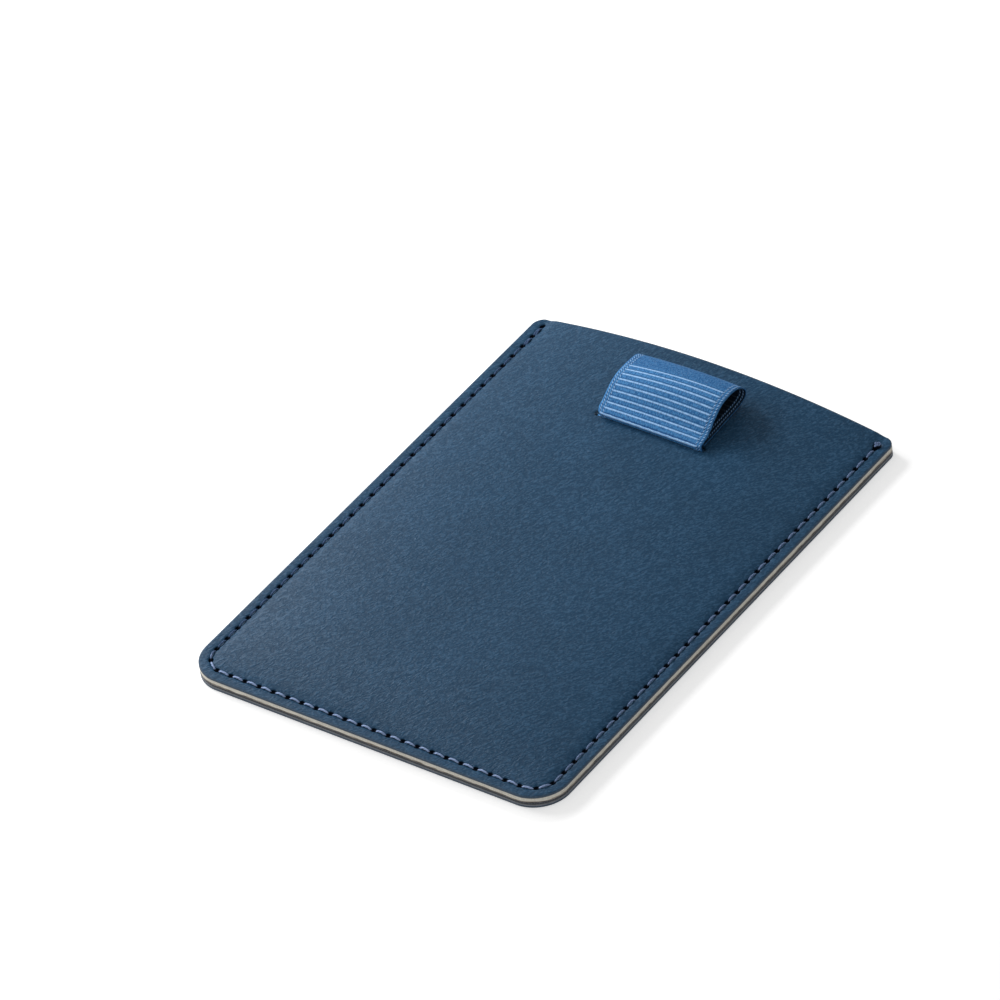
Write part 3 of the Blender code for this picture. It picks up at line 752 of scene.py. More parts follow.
knotAlong = seamLength - seamEnd + knotCentre.y


def edgeRounding(inset):
    share = max(1 - inset / panelLook["edgeRound"], 0)
    return panelLook["edgeDrop"] * share**2


def seamPress(across, along):
    # how deep the seam presses the skin, and how much of a needle hole is there
    look = panelLook
    furrow = look["furrowDepth"] * math.exp(-((across / look["furrowReach"]) ** 2))
    phase = (along / seamPitch + 0.5) % 1 - 0.5
    out = math.hypot(phase * seamPitch / look["holeLength"], across / look["holeWidth"])
    hole = 1 - smoothStep((out - 0.5) / 0.5)
    past = max(-along, along - sewnLength, 0)
    fade = 1 - smoothStep(past / look["furrowReach"] - 1)
    knotAway = math.hypot(along - knotAlong, across) / look["knotPit"]
    hole = max(hole * fade, 1 - smoothStep((knotAway - 0.5) / 0.5))
    return max(furrow * fade, look["holeDepth"] * hole), hole


def seamRows(steps):
    # rows across the border: their distance along the seam, and a place for any inset
    rows = []
    ends = [halfLength - drop for drop in mouthDrops if halfLength - drop > seamEnd]
    for y in ends:
        rows.append((seamEnd - y, lambda inset, y=y: Vector((inset - halfWidthAt(y), y))))
    count = seamStitches * steps
    distances = [sewnLength * index / count for index in range(count + 1)]
    distances += [sewnLength + (seamLength - sewnLength) * share / 4 for share in (1, 2, 3, 4)]
    for distance in distances:
        rows.append((distance, lambda inset, distance=distance: borderPlace(distance, inset)))
    for y in reversed(ends):
        past = seamLength + y - seamEnd
        rows.append((past, lambda inset, y=y: Vector((halfWidthAt(y) - inset, y))))
    return rows


mouthDrops = [drop * mm for drop in (0, 0.03, 0.07, 0.15, 0.3, 0.5, 0.8, 1.15, 1.5, 1.75)]


def borderPlace(distance, inset):
    x, y, outX, outY = seamPlace(distance)
    reach = sleeveShape["seamInset"] - inset
    return Vector((x + outX * reach, y + outY * reach))


def leatherSheet(name, outerFace, innerFace, steps, pressScale, hasSlit):
    # outerFace and innerFace give heights; the outer one is pressed towards the inner one
    look = panelLook
    bm = bmesh.new()
    hole = bm.verts.layers.float.new("hole")
    cut = bm.verts.layers.float.new("cut")
    insets = [inset * mm for inset in look["insets"]]
    rows = seamRows(steps)
    inward = 1 if innerFace(0, 0) > outerFace(0, 0) else -1

    def surfaceVert(x, y, press=0.0, holeShare=0.0, slitInset=None):
        inset = max(rimInset(x, y), 0)
        drop = edgeRounding(inset) + press * pressScale
        if slitInset is not None:
            drop += look["slitDrop"] * max(1 - slitInset / look["edgeRound"], 0) ** 2
        vert = bm.verts.new((x, y, outerFace(x, y) + inward * drop))
        vert[hole] = holeShare
        vert[cut] = look["cutShare"] * max(1 - inset / look["cutRim"], 0)
        return vert

    def triangles(loops, places, verts):
        outlines = [[vert.co.xy for vert in loop] for loop in loops]
        verts = [vert for loop in loops for vert in loop] + verts
        for face in triangulate(outlines, places):
            bm.faces.new([verts[corner] for corner in face])

    grid = []
    for along, placeAt in rows:
        line = []
        for inset in insets:
            x, y = placeAt(inset)
            press, holeShare = seamPress(sleeveShape["seamInset"] - inset, along)
            line.append(surfaceVert(x, y, press, holeShare))
        grid.append(line)
    for line, after in zip(grid, grid[1:]):
        bridge(bm, line, after, False)

    # the panel inside the border: its places, each with its distance from the slit's edge
    reach = halfWidthAt(halfLength) - insets[-1]
    mouthSteps = round(2 * reach / look["step"])
    mouth = [
        surfaceVert(reach - 2 * reach * count / mouthSteps, halfLength)
        for count in range(1, mouthSteps)
    ]
    loops = [[line[-1] for line in grid] + mouth]
    if hasSlit:
        loops.append([surfaceVert(x, y, slitInset=0.0) for x, y in slitLoop()])
    places = []
    for skip, further in look["innerRows"]:
        for along, placeAt in rows[::skip]:
            x, y = placeAt(insets[-1] + further)
            if halfLength - y > look["step"] * 0.7:
                places.append((x, y, None))
    for drop in mouthDrops[2:8]:
        rowReach = halfWidthAt(halfLength - drop) - insets[-1] - 0.3 * look["step"]
        for count in range(mouthSteps * 2 - 3):
            x = rowReach * (2 * count / (mouthSteps * 2 - 4) - 1)
            places.append((x, halfLength - drop, None))
    if hasSlit:
        for grow in look["slitRings"]:
            places += [(x, y, grow) for x, y in slitLoop(grow, 12, 0.6 * mm)]
    for x, y in lattice(look["step"], insets[-1] + look["innerMargin"], False):
        nearMouth = halfLength - y < look["mouthMargin"]
        if not nearMouth and not (hasSlit and insideSlit(x, y, look["slitMargin"])):
            places.append((x, y, None))
    for drop in look["mouthRows"]:
        for count in range(mouthSteps):
            x = (reach - look["step"]) * (2 * count / (mouthSteps - 1) - 1)
            places.append((x, halfLength - drop, None))
    verts = [surfaceVert(x, y, slitInset=grow) for x, y, grow in places]
    triangles(loops, [(x, y) for x, y, grow in places], verts)

    # walls down to the inner face, then the inner face itself
    rim = [line[0] for line in grid] + list(grid[-1][1:]) + mouth
    rim += list(reversed(grid[0][1:]))
    lowLoops = []
    for loop in [rim] + loops[1:]:
        flat = [vert.co.xy for vert in loop]
        low = [bm.verts.new((x, y, innerFace(x, y))) for x, y in flat]
        middles = [vert.co.lerp(lower.co, look["wallStep"]) for vert, lower in zip(loop, low)]
        middle = [bm.verts.new(place) for place in middles]
        for ring, share in ((low, 1.0), (middle, look["cutShare"])):
            for vert in ring:
                vert[cut] = share
        bridge(bm, loop, middle)
        bridge(bm, middle, low)
        lowLoops.append(low)
    free = lattice(2 * look["step"], seamRings[-1] + look["step"], hasSlit) + ringPlaces()
    triangles(lowLoops, free, [bm.verts.new((x, y, innerFace(x, y))) for x, y in free])
    return finishSheet(name, bm, leather, 60)


# Geometry trees: what they share, and how a piece takes on the mesh that one makes
def openTree(name, **sockets):
    # sockets are lists of input names by their kind
    tree = bpy.data.node_groups.new(name, "GeometryNodeTree")
    sockets = {**sockets, "Material": ["Material"]}
    face = tree.interface
    face.new_socket("Geometry", in_out="INPUT", socket_type="NodeSocketGeometry")
    for kind, names in sockets.items():
        for socket in names:
            face.new_socket(socket, in_out="INPUT", socket_type="NodeSocket" + kind)
    face.new_socket("Geometry", in_out="OUTPUT", socket_type="NodeSocketGeometry")
    return tree, newNode(tree, "NodeGroupInput")


def closeTree(given, geometry):
    real = addNode("GeometryNodeRealizeInstances", {0: geometry})[0]
    inputs = {"Geometry": real, "Material": given["Material"]}
    addNode("NodeGroupOutput", {0: addNode("GeometryNodeSetMaterial", inputs)[0]})
    return geometry.id_data


def moved(geometry, offset):
    return addNode("GeometryNodeSetPosition", {"Geometry": geometry, "Offset": offset})[0]


def runTree(piece, tree, values):
    # values are given by the names of the tree's inputs, and set by their identifiers
    modifier = piece.modifiers.new("tree", "NODES")
    modifier.node_group = tree
    for item in tree.interface.items_tree:
        if item.item_type == "SOCKET" and item.in_out == "INPUT" and item.name in values:
            modifier[item.identifier] = values[item.name]
    bpy.context.view_layer.update()
    graph = bpy.context.evaluated_depsgraph_get()
    mesh = bpy.data.meshes.new_from_object(piece.evaluated_get(graph))
    mesh.name = piece.name
    piece.modifiers.clear()
    piece.vertex_groups.clear()
    piece.data = mesh
    return piece


# Thread: strands twisted round a path that dips at every needle hole
threadShape = {"strands": 3, "sides": 7, "archPower": 2.3, "holePower": 7.0}


def threadTree():
    shape = threadShape
    sizes = ["Rise", "Sink", "Slant", "Strand", "Spread", "Twist"]
    tree, given = openTree("twistedStitches", Int=["Stitches", "Samples"], Float=sizes)
    count = calc("MULTIPLY_ADD", given["Stitches"], given["Samples"], 1.0)
    path = addNode("GeometryNodeMeshToCurve", {0: given["Geometry"]})[0]
    even = addNode("GeometryNodeResampleCurve", {"Curve": path, "Count": count})[0]
    index = newNode(tree, "GeometryNodeInputIndex")[0]
    step = calc("DIVIDE", index, given["Samples"])
    swing = calc("MULTIPLY_ADD", calc("FRACT", step), 2.0, -1.0)
    away = calc("ABSOLUTE", swing)
    lift = minus(1.0, calc("POWER", away, shape["archPower"]))
    travel = calc("ADD", given["Rise"], given["Sink"])
    height = minus(times(travel, lift), given["Sink"])
    inHole = minus(1.0, calc("POWER", away, shape["holePower"]))
    aside = times(times(swing, inHole), given["Slant"])
    tangent = newNode(tree, "GeometryNodeInputTangent")[0]
    out = vectorCalc("NORMALIZE", vectorCalc("CROSS_PRODUCT", tangent, (0, 0, 1)))
    profile = {"Resolution": shape["sides"], "Radius": given["Strand"]}
    ring = addNode("GeometryNodeCurvePrimitiveCircle", profile)[0]
    joined = tree.nodes.new("GeometryNodeJoinGeometry")
    for strand in range(shape["strands"]):
        turns = calc("MULTIPLY_ADD", step, given["Twist"], strand / shape["strands"])
        angle = times(turns, 2 * math.pi)
        side = calc("MULTIPLY_ADD", calc("COSINE", angle), given["Spread"], aside)
        up = calc("MULTIPLY_ADD", calc("SINE", angle), given["Spread"], height)
        upward = addNode("ShaderNodeCombineXYZ", {2: up})[0]
        offset = vectorCalc("ADD", vectorCalc("SCALE", out, scale=side), upward)
        line = moved(even, offset)
        tube = {"Curve": line, "Profile Curve": ring, "Fill Caps": True}
        fill(joined, {0: addNode("GeometryNodeCurveToMesh", tube)[0]})
    smooth = addNode("GeometryNodeSetShadeSmooth", {0: joined.outputs[0]})[0]
    return closeTree(given, smooth)


def layThread(name, points, stitches, values, material):
    mesh = bpy.data.meshes.new(name)
    mesh.from_pydata(points, [(count, count + 1) for count in range(len(points) - 1)], [])
    inputs = {key.capitalize(): value for key, value in values.items()}
    inputs.update(Stitches=stitches, Material=material)
    return runTree(addPiece(name, mesh), threadNodes, inputs)


# Ribbon
ribbonValues = {
    "width": 20.5 * mm,
    "thickness": 0.3 * mm,
    "ribPitch": 1.05 * mm,
    "ribHeight": 0.11 * mm,
    "selvedge": 1.15 * mm,
    "alongStep": 0.1 * mm,
    "drawnStep": 0.2 * mm,
    "loopColumns": 56,
    "drawnColumns": 36,
    "columns": 28,
}


def ribbonTree():
    # raises the ribs along the surface's normals, from the ribbon's own measures
    sizes = ["Pitch", "Height", "Width share", "Selvedge", "Half width"]
    tree, given = openTree("ribbonRibs", Float=sizes)

    def named(name):
        inputs = {"Name": name}
        return newNode(tree, "GeometryNodeInputNamedAttribute", inputs, data_type="FLOAT")[0]

    turns = calc("DIVIDE", named("along"), given["Pitch"])
    half = times(given["Width share"], 0.75)
    ridge = remap(offFrom(calc("FRACT", turns), 0.5), half, 0.0)
    inside = minus(given["Half width"], calc("ABSOLUTE", named("across")))
    body = remap(inside, times(given["Selvedge"], 0.6), given["Selvedge"])
    share = times(times(ridge, body), named("ribbed"))
    lift = times(share, given["Height"])
    normal = newNode(tree, "GeometryNodeInputNormal")[0]
    raised = moved(given["Geometry"], vectorCalc("SCALE", normal, scale=lift))
    # marks the loop's inner face for the material's painted shade
    inner = times(named("shell"), named("shaded"))
    kept = {"Geometry": raised, "Name": "inner", "Value": inner}
    marked = addNode("GeometryNodeStoreNamedAttribute", kept, data_type="FLOAT")[0]
    return closeTree(given, marked)


def allRibbed(step):
    return 1.0


def weaveStrip(name, placeAt, steps, length, columns, ribbed=allRibbed, start=0.0, shaded=0.0):
    # placeAt(share across, step) gives places; start is the woven length before the first rib
    values = ribbonValues
    bm = bmesh.new()
    names = ("across", "along", "ribbed", "shaded")
    layers = [bm.verts.layers.float.new(layer) for layer in names]
    grid = []
    for step in range(steps + 1):
        line = []
        for share in evenShares(columns):
            line.append(bm.verts.new(placeAt(share, step)))
            across = (share - 0.5) * values["width"]
            marks = (across, step * length / steps - start, ribbed(step), shaded)
            for layer, mark in zip(layers, marks):
                line[-1][layer] = mark
        grid.append(line)
    for line, after in zip(grid, grid[1:]):
        for i in range(columns):
            bm.faces.new((line[i], line[i + 1], after[i + 1], after[i]))
    piece = finishMesh(name, bm, ribbon)
    piece.vertex_groups.new(name="shell")
    solid = piece.modifiers.new("ply", "SOLIDIFY")
    solid.shell_vertex_group = "shell"
    solid.thickness = values["thickness"]
    solid.offset = 0
    solid.use_even_offset = False
    inputs = {
        "Pitch": values["ribPitch"],
        "Height": values["ribHeight"],
        "Width share": ribbonLook["ribWidthShare"],
        "Selvedge": values["selvedge"],
        "Half width": values["width"] / 2,
        "Material": ribbon,
    }
    return runTree(piece, ribbonNodes, inputs)


# The folded pull loop: side views of its ribbon, from the slit, over the fold and back.
# Each place is a share of the reach and of the rise; plyShares lift the upper ply over the lower.
loopShape = {
    "reach": 12.7 * mm,
    "rise": 3.6 * mm,
    "clearance": 0.3 * mm,
    "ply": 0.4 * mm,
    "plyGap": 0.05 * mm,
    "stemSetback": 0.36 * mm,
    "stemFoot": -0.2 * mm,
    "firstRib": 0.175 * mm,
    "crown": 0.16,
    "plyShares": [0.5] + [1.0] * 13 + [0.5] + [0.0] * 7,
    "rightShares": (
        (-0.03, 0.0), (0.012, 0.014), (0.075, 0.069), (0.142, 0.153), (0.205, 0.297),
        (0.276, 0.486), (0.354, 0.667), (0.441, 0.847), (0.528, 0.958), (0.63, 1.0),
        (0.732, 0.986), (0.827, 0.917), (0.913, 0.764), (0.976, 0.542), (1.0, 0.382),
        (0.972, 0.236), (0.906, 0.133), (0.803, 0.072), (0.646, 0.044), (0.472, 0.033),
        (0.3, 0.011), (0.038, 0.0),
    ),
    "leftShares": (
        (-0.03, 0.0), (0.016, 0.042), (0.063, 0.097), (0.126, 0.194), (0.189, 0.333),
        (0.26, 0.472), (0.339, 0.611), (0.425, 0.708), (0.52, 0.753), (0.622, 0.753),
        (0.724, 0.731), (0.819, 0.694), (0.898, 0.625), (0.953, 0.514), (0.976, 0.437),
        (0.949, 0.375), (0.874, 0.264), (0.756, 0.167), (0.598, 0.1), (0.425, 0.05),
        (0.252, 0.017), (0.038, 0.0),
    ),
    "plainFrom": 0.405,
    "plainTo": 0.56,
    "plainFade": 0.03,
    "footPinch": 0.5 * mm,
    "pinchReach": 2.4 * mm,
    "curveSteps": 14,
}
slitStep = sleeveShape["slitWidth"]
slitClimb = frontRise(0, slitY + slitStep) - frontRise(0, slitY - slitStep)
slitSlope = math.atan2(slitClimb, 2 * slitStep)
slitHeight = seamTop + frontRise(0, slitY)


def fromSlit(along, above):
    y = slitY + along * math.cos(slitSlope) - above * math.sin(slitSlope)
    return y, slitHeight + along * math.sin(slitSlope) + above * math.cos(slitSlope)


def loopProfile(shares):
    shape = loopShape
    lower = shape["clearance"] + shape["ply"] / 2
    points = [Vector((-shape["stemSetback"], shape["stemFoot"]))]
    for (reachShare, riseShare), plyShare in zip(shares, shape["plyShares"]):
        above = lower + plyShare * (shape["ply"] + shape["plyGap"]) + riseShare * shape["rise"]
        points.append(Vector((reachShare * shape["reach"], above)))
    return smoothThrough(points, shape["curveSteps"])


def smoothThrough(points, steps):
    # a Catmull-Rom curve through the points
    held = [2 * points[0] - points[1], *points, 2 * points[-1] - points[-2]]
    curve = []
    for k in range(1, len(held) - 2):
        a, b, c, d = held[k - 1 : k + 3]
        for step in range(steps):
            t = step / steps
            squared = (2 * a - 5 * b + 4 * c - d) * t**2
            curve.append((2 * b + (c - a) * t + squared + (3 * b - a - 3 * c + d) * t**3) / 2)
    return [*curve, points[-1].copy()]


def evenPoints(points, steps):
    # the same line with evenly spaced points, and its length
    gone = [0.0]
    for first, second in zip(points, points[1:]):
        gone.append(gone[-1] + (second - first).length)
    made, k = [], 0
    for share in evenShares(steps):
        wanted = gone[-1] * share
        while k < len(points) - 2 and gone[k + 1] < wanted:
            k += 1
        span = gone[k + 1] - gone[k]
        made.append(points[k].lerp(points[k + 1], (wanted - gone[k]) / span))
    return made, gone[-1]


def makeLoop():
    shape, values = loopShape, ribbonValues
    left, right = loopProfile(shape["leftShares"]), loopProfile(shape["rightShares"])
    length = evenPoints(left, 2)[1]
    steps = round(length / values["alongStep"])
    left, right = evenPoints(left, steps)[0], evenPoints(right, steps)[0]

    def placeAt(share, step):
        along, above = left[step].lerp(right[step], share)
        above *= 1 + shape["crown"] * (1 - (2 * share - 1) ** 2)
        pinch = shape["footPinch"] * (1 - smoothStep(step * length / steps / shape["pinchReach"]))
        x = (share - 0.5) * values["width"] + pinch * (1 - share) ** 3
        return (x, *fromSlit(along, above))

    def ribbed(step):
        share, fade = step / steps, shape["plainFade"]
        rising = 1 - smoothStep((share - shape["plainFrom"] + fade) / fade)
        return max(rising, smoothStep((share - shape["plainTo"]) / fade))

    columns, start = values["loopColumns"], shape["firstRib"]
    piece = weaveStrip("ribbon_loop", placeAt, steps, length, columns, ribbed, start, 1.0)
    return piece, length


def makeStretch(name, path, step=0.25 * mm):
    # a plain stretch of ribbon along a side view
    points = [Vector(place) for place in path]
    length = evenPoints(points, 2)[1]
    steps = max(4, round(length / step))
    points = evenPoints(points, steps)[0]

    def placeAt(share, step):
        return ((share - 0.5) * ribbonValues["width"], *points[step])

    return weaveStrip(name, placeAt, steps, length, ribbonValues["columns"])


def makeFlatStretch(name, node):
    low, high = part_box(node)
    height = (low.z + high.z) / 2
    return makeStretch(name, [(low.y, height), (high.y, height)])


def makeDrawnPly(name, y, low, high, drawn):
    # the ribbon that pays out of the slit: its rows lie close at rest, and evenly once drawn
    steps = round(drawn / ribbonValues["drawnStep"])

    def placeAt(share, step):
        rest = 0.5 - math.sin(math.asin(1 - 2 * step / steps) / 3)
        return (share - 0.5) * ribbonValues["width"], y, low + (high - low) * rest

    return weaveStrip(name, placeAt, steps, drawn, ribbonValues["drawnColumns"])


leather = leatherMaterial()
ribbon = ribbonMaterial()
creamShades = (0.78, 0.75, 0.67), (0.36, 0.3, 0.24)
cream = fibreMaterial("creamBacking", *creamShades, 0.22 * mm, (0.095, 0.1, 0.12))
grey = fibreMaterial("greyBacking", (0.3, 0.33, 0.38), (0.19, 0.21, 0.25), 0.1 * mm)
foil = foilMaterial()
lining = liningMaterial()
# the seam's third colour is painted light, where the lamps catch the stitches
seamShades = (0.03, 0.06, 0.135), (0.085, 0.15, 0.29), (0.46, 0.6, 0.92)
seamThread = threadMaterial("seamThread", *seamShades)
backThread = threadMaterial("backThread", (0.04, 0.075, 0.17), (0.11, 0.19, 0.36))
ribbonThread = threadMaterial("ribbonThread", (0.2, 0.42, 0.82), (0.5, 0.76, 1.0))
threadNodes = threadTree()
ribbonNodes = ribbonTree()
print("materials and node trees made")


def dress(piece, body, slotName, *nodes):
    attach(piece, body)
    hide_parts(*nodes)
    return piece


# Sheets of the sleeve
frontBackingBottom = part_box("front_backing")[0].z
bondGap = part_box("back_backing")[0].z - backTop
sheetLook = {
    "edgeStep": 0.35 * mm,
    "step": 2.6 * mm,
    "wallRows": 5,
    "roughness": 0.018 * mm,
    "topSink": 0.06 * mm,
    "sinkRange": (0.2 * mm, 0.6 * mm),
}
thinLook = dict(sheetLook, edgeStep=1.0 * mm, wallRows=1, roughness=0.0, topSink=0.0)
backLook = dict(sheetLook, edgeStep=0.5 * mm, step=4.0 * mm, wallRows=3)


def boxThickness(node):
    low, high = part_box(node)
    return high.z - low.z


steps = panelLook["stitchSteps"]
frontFaces = [
    lambda x, y: seamTop + frontRise(x, y),
    lambda x, y: frontSkinBottom + frontRise(x, y),
]
frontPanel = leatherSheet("front_panel", *frontFaces, steps, 1.0, True)
dress(frontPanel, "holder", "navy_leather", "front_skin")
backFaces = [lambda x, y: 0.0, lambda x, y: backTop]
backPanel = leatherSheet("back_panel", *backFaces, steps // 2, 0.9, False)
dress(backPanel, "holder", "navy_leather", "back_skin")
print("leather sheets made")

# each with its solid, its thickness, whether it is domed and slit like the front, and its look
coreThickness = frontSkinBottom - bondGap - frontBackingBottom
greyThickness, foilThickness, liningThickness = [
    boxThickness(node) for node in ("back_backing", "back_foil", "back_lining")
]
for name, node, thickness, isFront, material, look, slotName in (
    ("front_core", "front_backing", coreThickness, True, cream, sheetLook, "cream_backing"),
    ("back_core", "back_backing", greyThickness, False, grey, backLook, "grey_backing"),
    ("front_shield", "front_foil", foilThickness, True, foil, thinLook, "shielding_foil"),
    ("front_lining_cloth", "front_lining", liningThickness, True, lining, thinLook, "dark_lining"),
    ("back_shield", "back_foil", foilThickness, False, foil, thinLook, "shielding_foil"),
    ("back_lining_cloth", "back_lining", liningThickness, False, lining, thinLook, "dark_lining"),
):
    sheet = wallSheet(name, node, thickness, isFront, material, look)
    dress(sheet, "holder", slotName, node)
print("backings, foils and linings made")


# Threads
def seamLine(stitches, height, stitchSteps=8, aside=0.0):
    line = []
    for share in evenShares(stitches * stitchSteps):
        x, y, outX, outY = seamPlace(seamPitch * stitches * share)
        line.append((x + aside, y, height))
    return line


seamPath = seamLine(seamStitches, seamTop)
seam = layThread("seam_stitches", seamPath, seamStitches, stitchValues, seamThread)
dress(seam, "holder", "blue_thread", "seam_needle_thread")
bobbinValues = dict(
    stitchValues, rise=-0.04 * mm, sink=-0.12 * mm, strand=0.07 * mm, spread=0.06 * mm
)
bobbinHeight = 0.18 * mm
bobbinPath = seamLine(seamStitches, bobbinHeight)
bobbin = layThread("back_stitches", bobbinPath, seamStitches, bobbinValues, backThread)
dress(bobbin, "holder", "blue_thread", "seam_bobbin_thread")

# The seam's ends: stitches sewn back over the left end, a small looped knot at the right end
tackValues = dict(stitchValues, slant=-0.14 * mm, rise=0.24 * mm)
tackStitches, tackAside = 2, 0.3 * mm
tackPath = seamLine(tackStitches, seamTop, stitchSteps=20, aside=tackAside)
tack = layThread("seam_backtack", tackPath, tackStitches, tackValues, seamThread)
dress(tack, "holder", "blue_thread", "left_backtack")
knotValues = dict(
    stitchValues, rise=0.0, sink=0.0, slant=0.0, strand=0.07 * mm, spread=0.055 * mm, twist=1.0
)
knotShape = {"width": 0.15 * mm, "length": 0.2 * mm, "height": 0.11 * mm, "sink": 0.02 * mm}
knotTurns, knotPath = 6, []
for share in evenShares(72):
    turn = 2 * math.pi * share
    x = knotCentre.x + knotShape["width"] * (math.sin(turn) + 2 * math.sin(2 * turn))
    y = knotCentre.y + knotShape["length"] * (math.cos(turn) - 2 * math.cos(2 * turn))
    low = knotShape["sink"] + knotShape["height"] * math.sin(3 * turn)
    knotPath.append((x, y, knotCentre.z - low))
knot = layThread("seam_knot", knotPath, knotTurns, knotValues, seamThread)
dress(knot, "holder", "blue_thread", "right_knot")
print("threads laid")

# Pull tab
loop, loopLength = makeLoop()
dress(loop, "pull_tab", "blue_ribbon", "pull_tab_loop")
print("loop woven, length", round(loopLength / mm, 1), "mm")

# The rest of the ribbon: neck, throat, runs, turn and sewn end
drawnLength = 60 * mm
neckLow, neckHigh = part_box("ribbon_neck")
neckMiddle = (neckLow + neckHigh) / 2
halfPly = loopShape["ply"] / 2
stemY, stemZ = fromSlit(-loopShape["stemSetback"], loopShape["stemFoot"])
slitPath = [(neckMiddle.y, neckLow.z), (stemY, neckMiddle.z)]
slitPly = makeStretch("slit_ply", slitPath, 0.05 * mm)
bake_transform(slitPly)
drawnPly = makeDrawnPly("drawn_ply", stemY, neckMiddle.z, stemZ, drawnLength)
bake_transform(drawnPly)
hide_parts("ribbon_neck")


def bendPath(y, z, radius, sweep, steps):
    # an arc in side view, from its lowest point
    turns = [sweep * share for share in evenShares(steps)]
    return [(y + radius * math.sin(turn), z - radius * math.cos(turn)) for turn in turns]


throatLow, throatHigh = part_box("ribbon_throat")
bendRadius = (throatHigh.y - halfPly - throatLow.y) / 2
bendY, bendZ = throatHigh.y - halfPly, throatLow.z + halfPly
throatPath = [
    (throatLow.y, bendZ),
    *bendPath(bendY - bendRadius, bendZ + bendRadius, bendRadius, math.pi / 2, 8),
    (bendY, throatHigh.z),
]
throat = makeStretch("slit_bend", throatPath, 0.1 * mm)
dress(throat, "holder", "blue_ribbon", "ribbon_throat")


def shortenRun(piece, low, high):
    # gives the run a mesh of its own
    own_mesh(piece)


runLow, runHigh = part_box("ribbon_front_run")
runClearance = 0.12 * mm
runPath = []
for share in evenShares(40):
    y = runLow.y + (runHigh.y - runLow.y) * share
    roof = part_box("front_lining")[0].z + frontRise(ribbonValues["width"] / 2, y)
    runPath.append((y, max(roof - runClearance - halfPly, runLow.z + halfPly)))
runPath[0] = (runLow.y, runLow.z + halfPly)
frontRun = makeStretch("front_ply", runPath)
dress(frontRun, "holder", "blue_ribbon", "ribbon_front_run")
shortenRun(frontRun, runLow, runHigh)
backRun = makeFlatStretch("back_ply", "ribbon_back_run")
dress(backRun, "holder", "blue_ribbon", "ribbon_back_run")
shortenRun(backRun, *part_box("ribbon_back_run"))

turnLow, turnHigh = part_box("ribbon_turn")
turnMiddle = (turnLow.z + turnHigh.z) / 2
turnRadius = (turnHigh.z - turnLow.z) / 2 - halfPly
turnPath = [
    (turnHigh.y, turnMiddle - turnRadius),
    *bendPath(turnLow.y + halfPly + turnRadius, turnMiddle, turnRadius, -math.pi, 16),
    (turnHigh.y, turnMiddle + turnRadius),
]
turnPly = makeStretch("turn_ply", turnPath, 0.12 * mm)
dress(turnPly, "turn", "blue_ribbon", "ribbon_turn")
patch = makeFlatStretch("sewn_end", "ribbon_anchor_patch")
dress(patch, "holder", "blue_ribbon", "ribbon_anchor_patch")

# Stitches across the loop's foot, and the zigzag that holds the sewn end
heelValues = dict(
    stitchValues, rise=0.05 * mm, sink=0.02 * mm, slant=0.02 * mm, strand=0.09 * mm, twist=2.2
)
heelLow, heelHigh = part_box("tab_stitches")
heelMiddle = (heelLow + heelHigh) / 2
heelRun = heelHigh.x - heelLow.x
heelPath = [(heelLow.x + heelRun * share, 0.0, 0.0) for share in evenShares(60)]
heelStitches = 10
heel = layThread("heel_stitches", heelPath, heelStitches, heelValues, ribbonThread)
heelPlace = Matrix.Translation((0, heelMiddle.y, heelMiddle.z))
heel.data.transform(heelPlace @ Matrix.Rotation(math.pi / 2, 4, "X"))
dress(heel, "pull_tab", "ribbon_thread", "tab_stitches")
zigzagValues = dict(heelValues, sink=0.1 * mm)
zigzagLow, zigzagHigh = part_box("anchor_stitches")
zigzagInset = 0.1 * mm
zigzagRun = zigzagHigh.x - zigzagLow.x - 2 * zigzagInset
zigzags, zigzagPath = 9, []
for count, share in enumerate(evenShares(zigzags)):
    x = zigzagLow.x + zigzagInset + zigzagRun * share
    y = zigzagHigh.y - zigzagInset if count % 2 else zigzagLow.y + zigzagInset
    zigzagPath.append((x, y, (zigzagLow.z + zigzagHigh.z) / 2))
zigzag = layThread("anchor_zigzag", zigzagPath, zigzags, zigzagValues, ribbonThread)
dress(zigzag, "holder", "ribbon_thread", "anchor_stitches")
print("ribbon stretches and sewn lines made")

# Camera at the photograph's angle
cameraValues = {
    "target": (-13.8 * mm, 7.7 * mm, 2.4 * mm),
    "distance": 1.4710,
    "azimuth": math.radians(41.36),
    "elevation": math.radians(39.36),
    "roll": math.radians(-9.34),
    "lens": 330.9,
    "sensor": 36,
    "clip": (0.1, 20),
}


def makeCamera():
    values = cameraValues
    data = bpy.data.cameras.new("camera")
    data.lens, data.sensor_width = values["lens"], values["sensor"]
    data.clip_start, data.clip_end = values["clip"]
    camera = addPiece("camera", data)
    azimuth, elevation = values["azimuth"], values["elevation"]
    flat = math.cos(elevation)
    back = Vector((math.sin(azimuth) * flat, -math.cos(azimuth) * flat, math.sin(elevation)))
    camera.location = Vector(values["target"]) + back * values["distance"]
    upright = back.to_track_quat("Z", "Y").to_matrix()
    camera.rotation_euler = (upright @ Matrix.Rotation(values["roll"], 3, "Z")).to_euler()
    bpy.context.scene.camera = camera


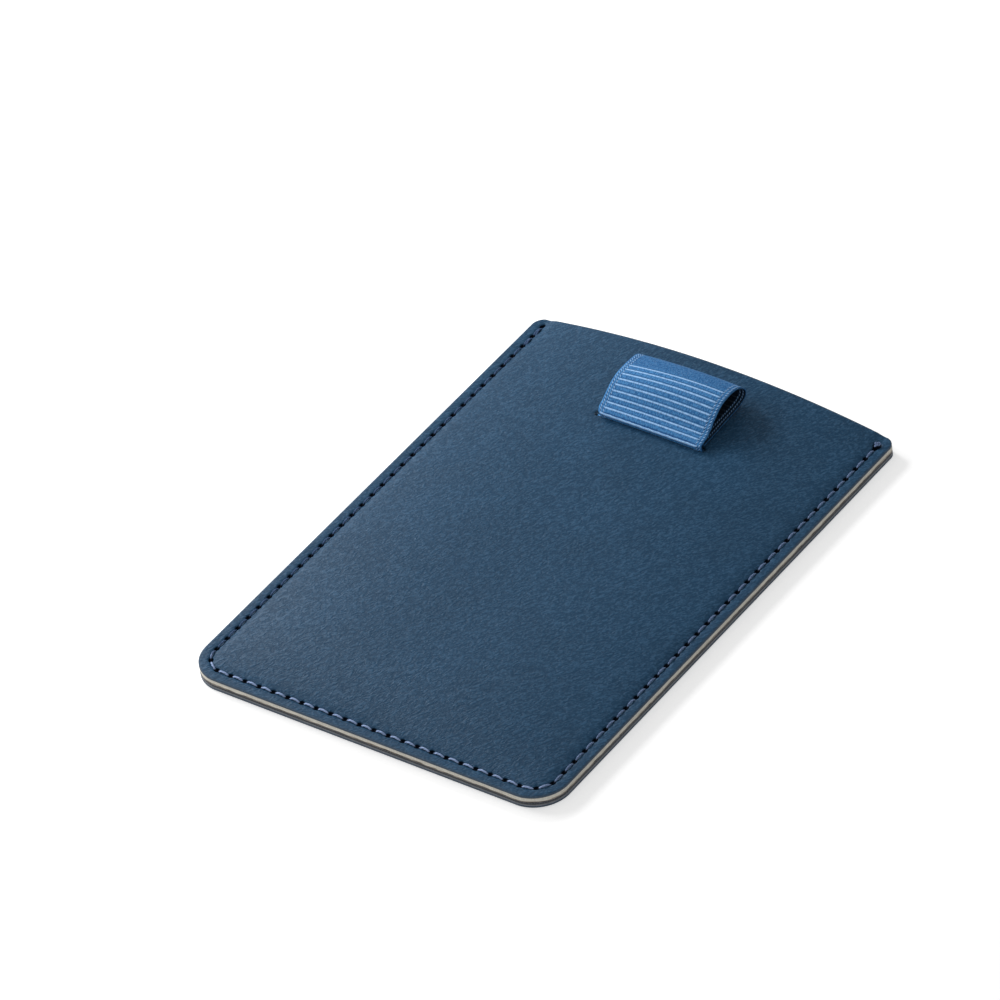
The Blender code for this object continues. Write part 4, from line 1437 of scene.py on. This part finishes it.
# Soft studio light: a pale surround, and three lamps, each with its place, size and power:
# the key from the left, the rim from the back left, and a low fill in front
lightValues = {
    "world": 0.38,
    "keyLamp": ((-0.306, -0.035, 0.172), 0.16, 0.68),
    "rimLamp": ((-0.262, 0.12, 0.165), 0.1, 0.58),
    "fillLamp": ((0.45, -0.82, 0.22), 0.7, 0.95),
}
floorValues = {
    "halfSize": 1.5,
    "colour": (0.8, 0.8, 0.8),
    "roughness": 0.9,
    "specular": 0.1,
    "glow": 0.5,
    "drop": 0.02 * mm,
}


def makeLamp(name, place, size, power):
    data = bpy.data.lights.new(name, "AREA")
    data.shape = "DISK"
    data.size = size
    data.energy = power
    lamp = addPiece(name, data)
    lamp.location = place
    lamp.rotation_euler = Vector(place).to_track_quat("Z", "Y").to_euler()


def seenRays(tree):
    path = newNode(tree, "ShaderNodeLightPath")
    seen = calc("MAXIMUM", path["Is Camera Ray"], path["Is Glossy Ray"])
    return calc("MAXIMUM", seen, path["Is Transmission Ray"])


def makeWorld():
    world = bpy.data.worlds.new("studio")
    bpy.context.scene.world = world
    world.use_nodes = True
    tree = world.node_tree
    strength = remap(seenRays(tree), 0.0, 1.0, lightValues["world"], 1.0, "LINEAR")
    fill(tree.nodes["Background"], {"Strength": strength, "Color": (1, 1, 1)})


def makeFloor():
    values = floorValues
    bm = bmesh.new()
    bmesh.ops.create_grid(bm, x_segments=1, y_segments=1, size=values["halfSize"])
    material, tree, surface = newMaterial("paleFloor", values["roughness"])
    fill(surface, {"Base Color": values["colour"], "Specular IOR Level": values["specular"]})
    plain = surface.outputs[0]
    glow = newNode(tree, "ShaderNodeEmission", {"Strength": values["glow"]})[0]
    both = addNode("ShaderNodeAddShader", {0: glow, 1: plain})[0]
    shaders = {0: seenRays(tree), 1: plain, 2: both}
    choice = addNode("ShaderNodeMixShader", shaders)[0]
    fill(tree.nodes["Material Output"], {"Surface": choice})
    floor = finishMesh("floor", bm, material, False)
    floor.location.z = -values["drop"]


makeCamera()
for name in ("keyLamp", "rimLamp", "fillLamp"):
    makeLamp(name, *lightValues[name])
makeWorld()
makeFloor()
bpy.context.scene.view_settings.view_transform = "Standard"
print("camera, light and floor made")
